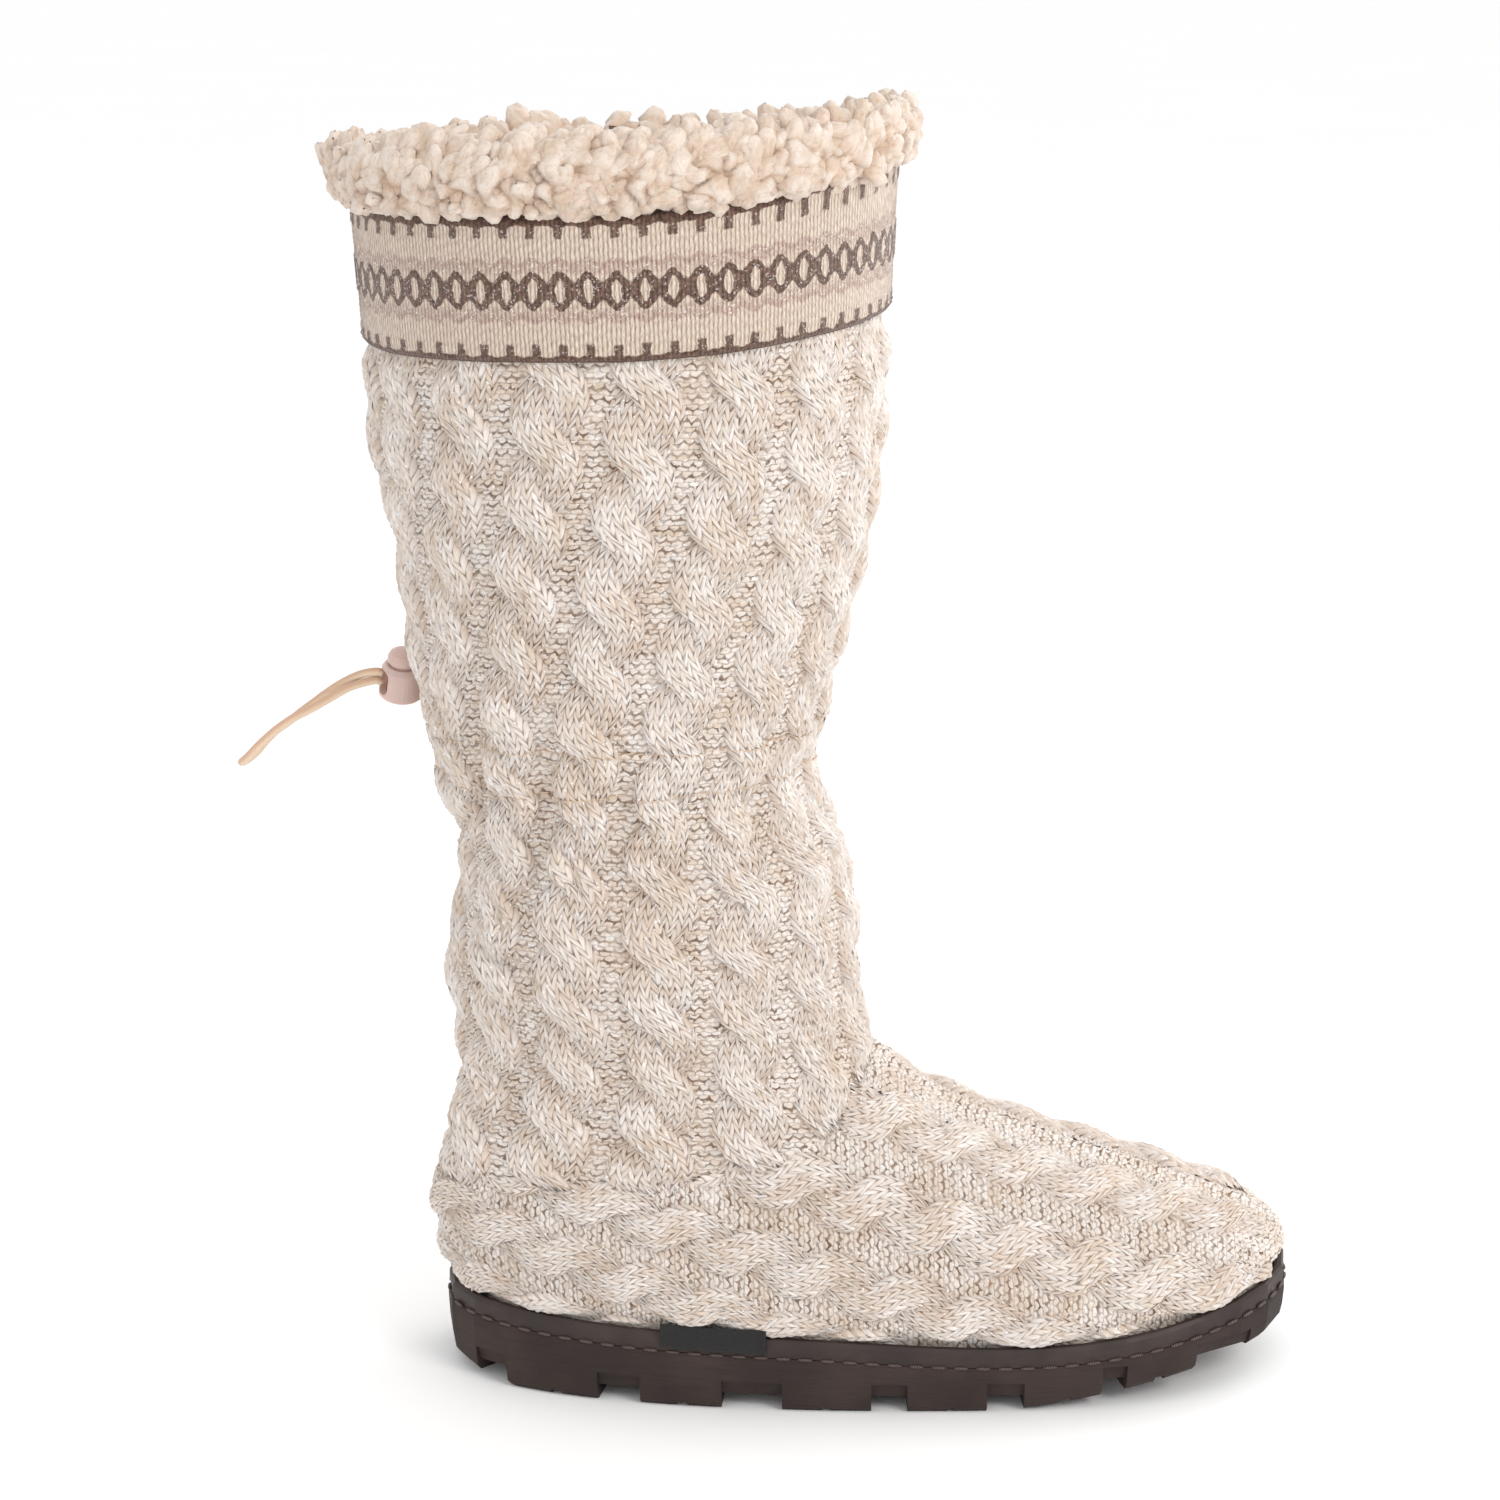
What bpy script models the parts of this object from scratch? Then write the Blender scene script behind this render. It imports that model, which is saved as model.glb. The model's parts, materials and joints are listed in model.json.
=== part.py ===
"""Knitted boot slipper, a right boot: lug outsole, rand, hollow knitted upper, insole, woven cuff band,
fleece collar, blank side tag, and a drawcord with a push-button cord lock.

Metres, +Z up, +X to the toe, -Y to the outer (lateral) side.  The boot stands on z = 0, and the origin
is under the middle of its box.  Every table below is in millimetres, measured from the back of the heel.
"""
import math

import bmesh
import bpy
import numpy as np
from mathutils import Matrix, Vector

MM = 0.001

# driving sizes, in millimetres
SOLE_LENGTH = 276.0
BALL_X = 178.0            # where the sole is widest
HALF_WIDTH = 51.5         # half of the ball width
TOE_SWING = 5.5           # how far the tip of the toe lies to the inner side
WAIST_X = 108.0           # middle of the arch
WAIST_SPAN = 62.0
WAIST_CUT = 7.0           # how far the arch draws the inner edge in
TOE_SQUARENESS = 2.3
HEEL_SQUARENESS = 2.55
ORIGIN_X = 122.4          # middle of the boot's box, from the back of the heel
GAP = 0.3                 # clearance between pieces that touch

WALL = 4.0                # knit with its fleece lining
RING_POINTS = 48
DENSE = 960

# height of the outsole's top edge along the boot
SOLE_TOP = (
    # x, z
    (0, 23.4),
    (30, 21.0),
    (70, 19.0),
    (120, 17.8),
    (165, 15.4),
    (195, 15.2),
    (225, 17.6),
    (252, 22.4),
    (276, 27.8),
)

# The upper, from the feather line to the top edge.  back and front are the places where the section
# crosses the boot's middle plane, side is its widest place, and the last two shape its ends: 2 is an
# ellipse, more is squarer, less is more pointed.
UPPER_SECTIONS = (
    # name, back x, back z, side x, side z, half width, front x, front z, front shape, back shape
    ("heel swell", -3.4, 52, 165, 45, 47.5, 269.0, 48.0, 2.25, 2.55),
    ("toe crown", -2.0, 66, 148, 59, 44.5, 253.0, 55.5, 2.10, 2.50),
    ("ball crown", 1.0, 78, 128, 71, 42.0, 226.0, 65.5, 1.90, 2.40),
    ("seam line", 4.0, 89, 108, 82, 41.5, 197.0, 75.5, 1.80, 2.30),
    ("instep", 6.0, 100, 92, 93, 42.5, 169.0, 86.5, 1.80, 2.20),
    ("throat", 6.5, 111, 80, 104, 44.5, 151.0, 97.5, 1.85, 2.15),
    ("ankle", 6.0, 123, 72, 118, 48.0, 138.5, 111.5, 1.95, 2.10),
    ("slouch", 3.0, 138, 68, 135, 51.5, 133.5, 131.0, 2.05, 2.10),
    ("fold", 6.0, 156, 68, 154, 53.5, 132.5, 152.0, 2.10, 2.10),
    ("gather", 9.5, 176, 68, 175, 55.0, 127.5, 177.0, 2.10, 2.10),
    ("casing foot", 4.0, 194, 62, 197, 56.5, 119.0, 199.0, 2.10, 2.10),
    ("casing head", -2.0, 217, 60, 219, 59.0, 121.5, 217.0, 2.10, 2.10),
    ("calf low", -6.0, 245, 61, 246, 63.5, 129.0, 246.0, 2.10, 2.10),
    ("calf mid", -10.5, 276, 62, 277, 68.0, 136.5, 277.0, 2.10, 2.10),
    ("calf high", -16.0, 304, 62, 307, 71.0, 140.0, 307.0, 2.10, 2.10),
    ("band foot", -17.0, 336, 62, 340, 72.5, 140.5, 341.0, 2.10, 2.10),
    ("band head", -19.5, 374, 61, 378, 74.0, 142.0, 380.0, 2.10, 2.10),
    ("top edge", -20.5, 384, 61, 384, 74.5, 143.0, 394.0, 2.10, 2.10),
)

# the rubber outsole, its lugs and its tread
SOLE_RINGS = (
    # inset, share of the way from the tread to the top edge, then a lift
    (3.0, 0.00, 0.0),
    (1.4, 0.00, 1.6),
    (0.7, 0.40, 0.0),
    (0.3, 0.80, 0.0),
    (0.4, 1.00, -1.0),
    (1.0, 1.00, 0.0),
)
HEEL_BEVEL = (24.0, 5.8)      # length and height of the slant under the back of the heel
HEEL_BEVEL_POWER = 1.25
SPRING_START = 178.0          # the tread leaves the ground here
SPRING_RISE = 15.2            # and has risen by this much at the tip
SPRING_POWER = 1.2
LUG_HEIGHT = 5.0
LUG_LENGTH = 25.0
RECESS_RISE = 5.0             # the side wall over a gap between two lugs is set back this far up
RECESS_DEPTH = 1.7
CHANNEL_WIDTH = 4.5
NOTCH_WIDTH = 3.2
NOTCH_HEIGHT = 1.7
LUG_GAPS = (
    # from x, to x, height of the gap, along both edges
    (10.4, 20.6, 4.6),
    (50.2, 64.3, 5.0),
    (90.3, 109.6, 5.0),
    (138.4, 149.4, 5.0),
    (175.5, 186.2, 5.0),
    (211.3, 219.4, 4.6),
    (242.4, 261.6, 2.4),
)
NOTCHES = (36.5, 77.4, 123.5, 163.0, 200.3, 230.6)
CENTRE_BARS = (48.0, 72.0, 98.0, 124.0, 150.0, 176.0, 202.0, 228.0)
CENTRE_BAR_WIDTH = 5.0

# the rand that wraps the foot of the upper
RAND_SECTION = (
    # inset, height above the outsole's top edge
    (1.0, 0.3),
    (0.7, 2.4),
    (0.8, 5.0),
    (1.5, 6.3),
    (2.9, 6.5),
    (3.8, 5.7),
    (3.9, 0.3),
)
RAND_TOP = 6.5
FEATHER_INSET = 4.2
SWELL_INSET = 0.6             # the knit swells out over the rand
SWELL_HEIGHT = 12.5

INSOLE_SECTION = (
    # inset, height above the outsole's top edge
    (10.0, 0.3),
    (8.8, 1.2),
    (8.8, 4.6),
    (10.4, 5.6),
)

# the woven cuff band and the fleece collar
BAND_FOOT = 340.5
BAND_HEAD = 378.5
BAND_THICKNESS = 1.6
COLLAR_ROLL = (
    # out from the upper's face, share of the way from the band's head to the collar's head
    (0.3, 0.00),
    (4.6, -0.10),
    (8.6, 0.10),
    (10.2, 0.42),
    (8.9, 0.74),
    (4.4, 0.94),
    (-2.0, 1.00),
    (-8.6, 0.92),
    (-13.0, 0.66),
    (-14.2, 0.20),
)
COLLAR_SKIRT = (
    # out from the upper's face, height on the boot's side
    (-13.0, 370.0),
    (-8.6, 363.5),
    (-4.4, 366.0),
    (-4.4, 378.5),
)
COLLAR_HEAD = 8.6             # how far the collar's head lies above the upper's top edge
COLLAR_FOOT = 0.8             # and its foot above the band's head
COLLAR_BACK_SWELL = 1.0       # the roll is fuller behind
COLLAR_FRONT_SWELL = 0.66     # and slimmer in front

# the blank woven tag over the rand, on the outer side
TAG_FROM_X = 71.0
TAG_TO_X = 104.5
TAG_THICKNESS = 0.8
TAG_FOOT = 2.0
TAG_HEAD = 9.8

# the push-button cord lock behind the casing
LOCK_FOOT = (-11.6, 9.9, 219.8)
LOCK_LEAN = 8.0               # degrees, its head towards the boot
LOCK_TIP = 15.0               # degrees, its head towards the outer side
LOCK_YAW = 24.0               # degrees, its cord hole turned to the outer side
BARREL_RADIUS = 6.9
BARREL_HEIGHT = 11.4
BARREL_BORE = 4.7
BARREL_FLOOR = 0.9
PLUNGER_RADIUS = 4.4
PLUNGER_FOOT = 2.2
BUTTON_TRAVEL = 1.1           # the gap under the cap
CAP_RADIUS = 5.15
CAP_HEIGHT = 4.2
BARREL_HOLE = (3.45, 1.7, 10.0, 2.0)     # half width, foot, head, corner radius
PLUNGER_SLOT = (2.60, 3.1, 10.0, 1.6)
LOCK_SIDES = 32

# the drawcord's loop, from the lock's hole round its tip and back into the hole
CORD_DIAMETER = 2.7
CORD_STEP = 5.4
CORD_ROUTE = (
    # x, y, z
    (-17.5, 6.8, 225.1),
    (-18.7, 6.0, 225.7),
    (-22.9, 5.5, 224.9),
    (-27.3, 5.1, 223.5),
    (-31.7, 4.8, 221.1),
    (-36.0, 4.6, 218.6),
    (-40.3, 4.5, 216.2),
    (-44.6, 4.5, 214.0),
    (-47.8, 4.7, 211.9),
    (-51.7, 5.1, 208.9),
    (-56.2, 5.8, 204.7),
    (-59.8, 6.8, 200.8),
    (-61.8, 8.2, 198.8),
    (-62.6, 9.8, 197.9),
    (-62.3, 11.5, 197.6),
    (-61.3, 13.0, 197.9),
    (-59.4, 14.1, 199.2),
    (-57.2, 14.6, 201.4),
    (-55.0, 14.5, 204.1),
    (-51.6, 13.9, 207.4),
    (-47.5, 12.8, 210.5),
    (-44.0, 11.7, 213.5),
    (-39.4, 10.4, 217.1),
    (-35.0, 9.2, 220.6),
    (-30.6, 8.1, 223.7),
    (-26.3, 7.2, 226.2),
    (-22.2, 6.6, 227.8),
    (-18.5, 6.2, 228.4),
    (-17.1, 6.7, 228.0),
)


# ---------------------------------------------------------------- small helpers

def metres(point):
    """A point measured in millimetres from the heel, in the boot's own frame in metres."""
    x, y, z = point
    return Vector(((x - ORIGIN_X) * MM, y * MM, z * MM))


def cubic_table(table, place):
    """The value at a place of a smooth curve through a table of (place, value) rows."""
    places = [row[0] for row in table]
    values = [row[1] for row in table]
    last = len(places) - 1
    slopes = []
    for i in range(last + 1):
        low = max(i - 1, 0)
        high = min(i + 1, last)
        slopes.append((values[high] - values[low]) / (places[high] - places[low]))
    place = min(max(place, places[0]), places[-1])
    i = 0
    while i < last - 1 and place > places[i + 1]:
        i += 1
    span = places[i + 1] - places[i]
    t = (place - places[i]) / span
    return ((2 * t**3 - 3 * t**2 + 1) * values[i] + (t**3 - 2 * t**2 + t) * span * slopes[i]
            + (3 * t**2 - 2 * t**3) * values[i + 1] + (t**3 - t**2) * span * slopes[i + 1])


def sole_top(x):
    """Height of the outsole's top edge."""
    return cubic_table(SOLE_TOP, x)


def tread(x):
    """Height of the tread: a slant behind the heel, flat to the ball, then the toe spring."""
    bevel_length, bevel_height = HEEL_BEVEL
    heel = bevel_height * max(1 - x / bevel_length, 0.0) ** HEEL_BEVEL_POWER
    toe = SPRING_RISE * (max(x - SPRING_START, 0.0) / (SOLE_LENGTH - SPRING_START)) ** SPRING_POWER
    return heel + toe


# ---------------------------------------------------------------- the foot's sections

def section_curve(back_x, side_x, half_width, front_x, front_shape, back_shape, waist):
    """One closed section in plan, from the toe round the outer side: an array of x, y rows."""
    angle = np.linspace(0, 2 * math.pi, DENSE, endpoint=False)
    cosine = np.cos(angle)
    sine = np.sin(angle)
    shape = np.where(cosine > 0, front_shape, back_shape)
    reach = np.where(cosine > 0, front_x - side_x, side_x - back_x)
    x = side_x + np.sign(cosine) * reach * np.abs(cosine) ** (2 / shape)
    y = -half_width * np.sign(sine) * np.abs(sine) ** (2 / shape)
    hollow = np.clip(1 - ((x - WAIST_X) / WAIST_SPAN) ** 2, 0, None) ** 2
    y = np.where(y > 0, y - waist * WAIST_CUT * hollow * y / half_width, y)
    swing = np.clip((x - WAIST_X) / (SOLE_LENGTH - WAIST_X), 0, None) ** 2
    return np.stack([x, y + TOE_SWING * swing], axis=1)


def inset_curve(curve, inset):
    """The same closed curve drawn in by a distance."""
    along = np.roll(curve, -1, axis=0) - np.roll(curve, 1, axis=0)
    along /= np.linalg.norm(along, axis=1)[:, None]
    inward = np.stack([-along[:, 1], along[:, 0]], axis=1)
    return curve - inset * inward


def resample(curve, count):
    """count places round a closed section, evenly spread within each of its four quarters."""
    middle = (curve[:, 0].max() + curve[:, 0].min()) / 2
    half = len(curve) // 2
    outer = int(np.argmin(np.abs(curve[:half, 0] - middle)))
    inner = half + int(np.argmin(np.abs(curve[half:, 0] - middle)))
    corners = [0, outer, half, inner, len(curve)]
    closed = np.vstack([curve, curve[:1]])
    rows = []
    for start, end in zip(corners[:-1], corners[1:]):
        piece = closed[start:end + 1]
        steps = np.linalg.norm(np.diff(piece[:, :2], axis=0), axis=1)
        length = np.concatenate([[0], np.cumsum(steps)])
        wanted = np.linspace(0, length[-1], count // 4, endpoint=False)
        rows.append(np.stack([np.interp(wanted, length, piece[:, k]) for k in range(piece.shape[1])], 1))
    return np.vstack(rows)


SOLE_CURVE = section_curve(0.0, BALL_X, HALF_WIDTH, SOLE_LENGTH, TOE_SQUARENESS, HEEL_SQUARENESS, 1.0)


def outline_ring(inset, height, count=RING_POINTS):
    """A ring along the sole's outline; height gives z from x."""
    ring = resample(inset_curve(SOLE_CURVE, inset), count)
    return np.array([(x, y, height(x)) for x, y in ring])


def section_ring(row):
    """The ring of one row of UPPER_SECTIONS."""
    _, back_x, back_z, side_x, side_z, half_width, front_x, front_z, front_shape, back_shape = row
    waist = min(max((90 - side_z) / 60, 0), 1)
    plan = section_curve(back_x, side_x, half_width, front_x, front_shape, back_shape, waist)
    forward = (plan[:, 0] - side_x) / np.where(plan[:, 0] > side_x, front_x - side_x, side_x - back_x)
    end_z = np.where(forward > 0, front_z, back_z)
    z = side_z + (end_z - side_z) * forward ** 2
    return resample(np.column_stack([plan, z]), RING_POINTS)


def upper_controls():
    """The upper's rings: three that follow the outsole, then one for each section."""
    rings = [
        outline_ring(FEATHER_INSET, lambda x: sole_top(x) + GAP),
        outline_ring(FEATHER_INSET - 0.2, lambda x: sole_top(x) + RAND_TOP),
        outline_ring(SWELL_INSET, lambda x: sole_top(x) + SWELL_HEIGHT),
    ]
    rings.extend(section_ring(row) for row in UPPER_SECTIONS)
    return np.array(rings)


UPPER_CONTROLS = upper_controls()


def upper_surface(places):
    """Rings of the upper's outer face at places counted in control rings, smoothly joined."""
    gaps = np.linalg.norm(np.diff(UPPER_CONTROLS, axis=0), axis=2).mean(axis=1)
    stations = np.concatenate([[0], np.cumsum(gaps)])
    last = len(stations) - 1
    slopes = np.empty_like(UPPER_CONTROLS)
    for i in range(last + 1):
        low = max(i - 1, 0)
        high = min(i + 1, last)
        slopes[i] = (UPPER_CONTROLS[high] - UPPER_CONTROLS[low]) / (stations[high] - stations[low])
    rings = []
    for place in places:
        i = min(int(place), last - 1)
        t = place - i
        span = stations[i + 1] - stations[i]
        rings.append((2 * t**3 - 3 * t**2 + 1) * UPPER_CONTROLS[i] + (t**3 - 2 * t**2 + t) * span * slopes[i]
                     + (3 * t**2 - 2 * t**3) * UPPER_CONTROLS[i + 1] + (t**3 - t**2) * span * slopes[i + 1])
    return np.array(rings)


def outward(rings):
    """Unit normals of a stack of rings, pointing out of the boot."""
    around = np.roll(rings, -1, axis=1) - np.roll(rings, 1, axis=1)
    up = np.gradient(rings, axis=0)
    normal = np.cross(up, around)
    return normal / np.linalg.norm(normal, axis=2)[:, :, None]


def place_of_height(height):
    """The place, counted in control rings, where the upper's sides pass a height."""
    side = RING_POINTS // 4
    heights = UPPER_CONTROLS[:, side, 2]
    return float(np.interp(height, heights, np.arange(len(heights))))


# ---------------------------------------------------------------- mesh building

def add_object(name, mesh, material):
    obj = bpy.data.objects.new(name, mesh)
    bpy.context.scene.collection.objects.link(obj)
    mesh.materials.append(material)
    return obj


def finish_mesh(name, bm, smooth_angle=40):
    bmesh.ops.recalc_face_normals(bm, faces=bm.faces)
    mesh = bpy.data.meshes.new(name)
    bm.to_mesh(mesh)
    bm.free()
    mesh.shade_smooth()
    mesh.set_sharp_from_angle(angle=math.radians(smooth_angle))
    return mesh


def add_rings(bm, rings):
    """Vertices for a stack of rings, given in millimetres."""
    return [[bm.verts.new(metres(point)) for point in ring] for ring in rings]


def join_rings(bm, first, second):
    """Quads between two rings of the same count."""
    count = len(first)
    for i in range(count):
        j = (i + 1) % count
        bm.faces.new((first[i], first[j], second[j], second[i]))


def cap_ladder(bm, ring):
    """Closes a ring with rungs from its outer side to its inner side, so a rocker shape stays smooth."""
    count = len(ring)
    for i in range(count // 2):
        corners = [ring[i], ring[i + 1], ring[(count - i - 1) % count], ring[(count - i) % count]]
        unique = list(dict.fromkeys(corners))
        bm.faces.new(unique)


def solid_stack(name, rings):
    """A solid through a stack of rings, closed at both ends by ladders."""
    bm = bmesh.new()
    stack = add_rings(bm, rings)
    for first, second in zip(stack, stack[1:]):
        join_rings(bm, first, second)
    cap_ladder(bm, stack[0])
    cap_ladder(bm, stack[-1])
    return finish_mesh(name, bm)


def hollow_stack(name, rings):
    """A tube-like solid whose last ring joins its first, open right through."""
    bm = bmesh.new()
    stack = add_rings(bm, rings)
    for first, second in zip(stack, stack[1:] + stack[:1]):
        join_rings(bm, first, second)
    return finish_mesh(name, bm)


def material(name, colour, roughness):
    made = bpy.data.materials.new(name)
    made.use_nodes = True
    shader = made.node_tree.nodes["Principled BSDF"]
    shader.inputs["Base Color"].default_value = (*colour, 1)
    shader.inputs["Roughness"].default_value = roughness
    shader.inputs["Metallic"].default_value = 0
    return made


def cut(body, cutter):
    """Takes a hidden cutter's shape out of a body."""
    cutter.hide_render = True
    cutter.display_type = "WIRE"
    boolean = body.modifiers.new(cutter.name, "BOOLEAN")
    boolean.operation = "DIFFERENCE"
    boolean.solver = "EXACT"
    boolean.object = cutter


# ---------------------------------------------------------------- the outsole

def edge_at(x, side):
    """The outline's point and inward direction where it passes x, on the outer (-1) or inner (1) side."""
    half = len(SOLE_CURVE) // 2
    stretch = slice(0, half) if side < 0 else slice(half, None)
    index = int(np.argmin(np.abs(SOLE_CURVE[stretch, 0] - x))) + (0 if side < 0 else half)
    after = SOLE_CURVE[(index + 2) % len(SOLE_CURVE)]
    before = SOLE_CURVE[index - 2]
    along = (after - before) / np.linalg.norm(after - before)
    return SOLE_CURVE[index], np.array([along[1], -along[0]])


def edge_cutter(bm, from_x, to_x, side, profile):
    """A closed block across the edge; profile rows are distance in from the edge and height."""
    start, start_in = edge_at(from_x, side)
    end, end_in = edge_at(to_x, side)
    inward = start_in + end_in
    inward = inward / np.linalg.norm(inward)
    faces = []
    for point in (start, end):
        rows = [(*(point + inward * depth), height) for depth, height in profile]
        faces.append([bm.verts.new(metres(row)) for row in rows])
    join_rings(bm, *faces)
    bm.faces.new(faces[0])
    bm.faces.new(faces[1])


def gap_cutters():
    bm = bmesh.new()
    for side in (-1, 1):
        for from_x, to_x, height in LUG_GAPS:
            roof = tread((from_x + to_x) / 2) + height
            profile = (
                (-12, -5),
                (LUG_LENGTH + 1.5, -5),
                (LUG_LENGTH + 1.5, roof),
                (RECESS_DEPTH + 1.4, roof),
                (RECESS_DEPTH, roof + RECESS_RISE),
                (-12, roof + RECESS_RISE),
            )
            edge_cutter(bm, from_x, to_x, side, profile)
    return finish_mesh("gap_cutters", bm)


def notch_cutters():
    bm = bmesh.new()
    for side in (-1, 1):
        for x in NOTCHES:
            base = tread(x)
            profile = ((-12, -5), (14, -5), (14, base + NOTCH_HEIGHT), (-12, base + NOTCH_HEIGHT))
            edge_cutter(bm, x - NOTCH_WIDTH / 2, x + NOTCH_WIDTH / 2, side, profile)
    return finish_mesh("notch_cutters", bm)


def channel_cutter():
    """The channel that parts the edge lugs from the middle of the tread."""
    outer = LUG_LENGTH
    inner = LUG_LENGTH + CHANNEL_WIDTH
    rings = [
        outline_ring(outer, lambda x: -5.0),
        outline_ring(outer, lambda x: tread(x) + LUG_HEIGHT - 0.6),
        outline_ring(inner, lambda x: tread(x) + LUG_HEIGHT - 0.6),
        outline_ring(inner, lambda x: -5.0),
    ]
    return hollow_stack("channel_cutter", rings)


def bar_cutters():
    """Bars across the middle of the tread."""
    bm = bmesh.new()
    for x in CENTRE_BARS:
        outer, _ = edge_at(x, -1)
        inner, _ = edge_at(x, 1)
        reach = (inner[1] - outer[1]) / 2 - LUG_LENGTH - 1.5
        middle = (inner[1] + outer[1]) / 2
        top = tread(x) + LUG_HEIGHT - 1.2
        place = Matrix.Translation(metres((x, middle, top / 2 - 2.5)))
        size = Matrix.Diagonal((CENTRE_BAR_WIDTH * MM, 2 * reach * MM, (top + 5) * MM, 1))
        bmesh.ops.create_cube(bm, size=1, matrix=place @ size)
    return finish_mesh("bar_cutters", bm)


def build_outsole(rubber):
    rings = []
    for inset, share, lift in SOLE_RINGS:
        rings.append(outline_ring(inset, lambda x: tread(x) + share * (sole_top(x) - tread(x)) + lift))
    outsole = add_object("outsole", solid_stack("outsole", rings), rubber)
    for mesh in (gap_cutters(), channel_cutter(), bar_cutters(), notch_cutters()):
        cut(outsole, add_object(mesh.name, mesh, rubber))


# ---------------------------------------------------------------- the upper and what is sewn to it

def upper_places():
    """Ring places of the upper: a ring at every control, one between on the foot, and the band's own."""
    controls = len(UPPER_CONTROLS)
    low_part = [0, 0.5, 1, 1.5, 2, 2.5]
    foot_and_leg = list(range(3, controls - 3))
    band = [place_of_height(BAND_FOOT + share * (BAND_HEAD - BAND_FOOT)) for share in (0, 1 / 3, 2 / 3, 1)]
    return low_part + foot_and_leg + band + [controls - 1], len(low_part + foot_and_leg)


def build_upper(knit):
    places, _ = upper_places()
    outer = upper_surface(places)
    inner = outer - WALL * outward(outer)
    inner[0][:, 2] = outer[0][:, 2]
    inner[-1][:, 2] = outer[-1][:, 2]
    rings = list(outer) + list(inner[::-1])
    add_object("upper", hollow_stack("upper", rings), knit)


def build_cuff_band(ribbon):
    places, first = upper_places()
    face = upper_surface(places)
    normal = outward(face)
    rows = range(first, first + 4)
    inside = [face[i] + GAP * normal[i] for i in rows]
    outside = [face[i] + (GAP + BAND_THICKNESS) * normal[i] for i in rows]
    add_object("cuff_band", hollow_stack("cuff_band", inside + outside[::-1]), ribbon)


def build_collar(fleece):
    """The fleece roll sits astride the top edge, and its skirt follows the upper's face down inside."""
    edge = upper_surface([len(UPPER_CONTROLS) - 1])[0]
    foot = upper_surface([place_of_height(BAND_HEAD)])[0][:, 2] + COLLAR_FOOT
    head = edge[:, 2] + COLLAR_HEAD
    normal = outward(upper_surface([len(UPPER_CONTROLS) - 1.5, len(UPPER_CONTROLS) - 1]))[-1]
    normal[:, 2] = 0
    normal /= np.linalg.norm(normal, axis=1)[:, None]
    forward = (normal[:, 0] + 1) / 2
    swell = COLLAR_BACK_SWELL + (COLLAR_FRONT_SWELL - COLLAR_BACK_SWELL) * forward
    rings = []
    for out, share in COLLAR_ROLL:
        reach = np.where(out > GAP, GAP + (out - GAP) * swell, out)
        ring = edge + normal * reach[:, None]
        ring[:, 2] = foot + share * (head - foot)
        rings.append(ring)
    for out, height in COLLAR_SKIRT:
        rings.append(upper_surface([place_of_height(height)])[0] + out * normal)
    for out in (COLLAR_SKIRT[-1][0], COLLAR_ROLL[0][0]):
        rings.append(edge + out * normal + np.array([0, 0, GAP]))
    add_object("fleece_collar", hollow_stack("fleece_collar", rings), fleece)


def build_rand(leather):
    rings = [outline_ring(inset, lambda x: sole_top(x) + height) for inset, height in RAND_SECTION]
    add_object("rand", hollow_stack("rand", rings), leather)


def build_insole(pile):
    rings = [outline_ring(inset, lambda x: sole_top(x) + height) for inset, height in INSOLE_SECTION]
    add_object("insole", solid_stack("insole", rings), pile)


def build_tag(cloth):
    """A blank strip bent along the rand."""
    stations = np.linspace(TAG_FROM_X, TAG_TO_X, 6)
    bm = bmesh.new()
    rows = []
    for x in stations:
        edge, inward = edge_at(x, -1)
        low = sole_top(x) + TAG_FOOT
        high = sole_top(x) + TAG_HEAD
        inner = edge + inward * (0.7 - GAP)
        outer = edge + inward * (0.7 - GAP - TAG_THICKNESS)
        corners = [(*inner, low), (*outer, low), (*outer, high), (*inner, high)]
        rows.append([bm.verts.new(metres(corner)) for corner in corners])
    for first, second in zip(rows, rows[1:]):
        join_rings(bm, first, second)
    bm.faces.new(rows[0])
    bm.faces.new(rows[-1])
    add_object("side_tag", finish_mesh("side_tag", bm), cloth)


# ---------------------------------------------------------------- the cord lock

def turned(name, profile):
    """A solid of revolution about Z from rows of radius and height, foot centre to head centre."""
    bm = bmesh.new()
    rings = []
    for radius, height in profile:
        if radius == 0:
            rings.append([bm.verts.new((0, 0, height * MM))])
            continue
        ring = []
        for i in range(LOCK_SIDES):
            angle = 2 * math.pi * i / LOCK_SIDES
            ring.append(bm.verts.new((radius * MM * math.cos(angle), radius * MM * math.sin(angle), height * MM)))
        rings.append(ring)
    for first, second in zip(rings, rings[1:]):
        if len(first) == 1 or len(second) == 1:
            centre = first[0] if len(first) == 1 else second[0]
            ring = second if len(first) == 1 else first
            for i in range(LOCK_SIDES):
                bm.faces.new((centre, ring[i], ring[(i + 1) % LOCK_SIDES]))
        else:
            join_rings(bm, first, second)
    return finish_mesh(name, bm, 35)


def hole_cutter(name, half_width, foot, head, corner):
    """A hole with round corners, right through along local X."""
    bm = bmesh.new()
    across = half_width - corner
    centres = ((across, head - corner), (-across, head - corner), (-across, foot + corner), (across, foot + corner))
    outline = []
    for quarter, (centre_y, centre_z) in enumerate(centres):
        for step in range(4):
            angle = math.radians(90 * quarter + 30 * step)
            outline.append((centre_y + corner * math.cos(angle), centre_z + corner * math.sin(angle)))
    ends = []
    for x in (-12, 12):
        ends.append([bm.verts.new((x * MM, y * MM, z * MM)) for y, z in outline])
    join_rings(bm, *ends)
    bm.faces.new(ends[0])
    bm.faces.new(ends[1])
    return finish_mesh(name, bm)


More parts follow.
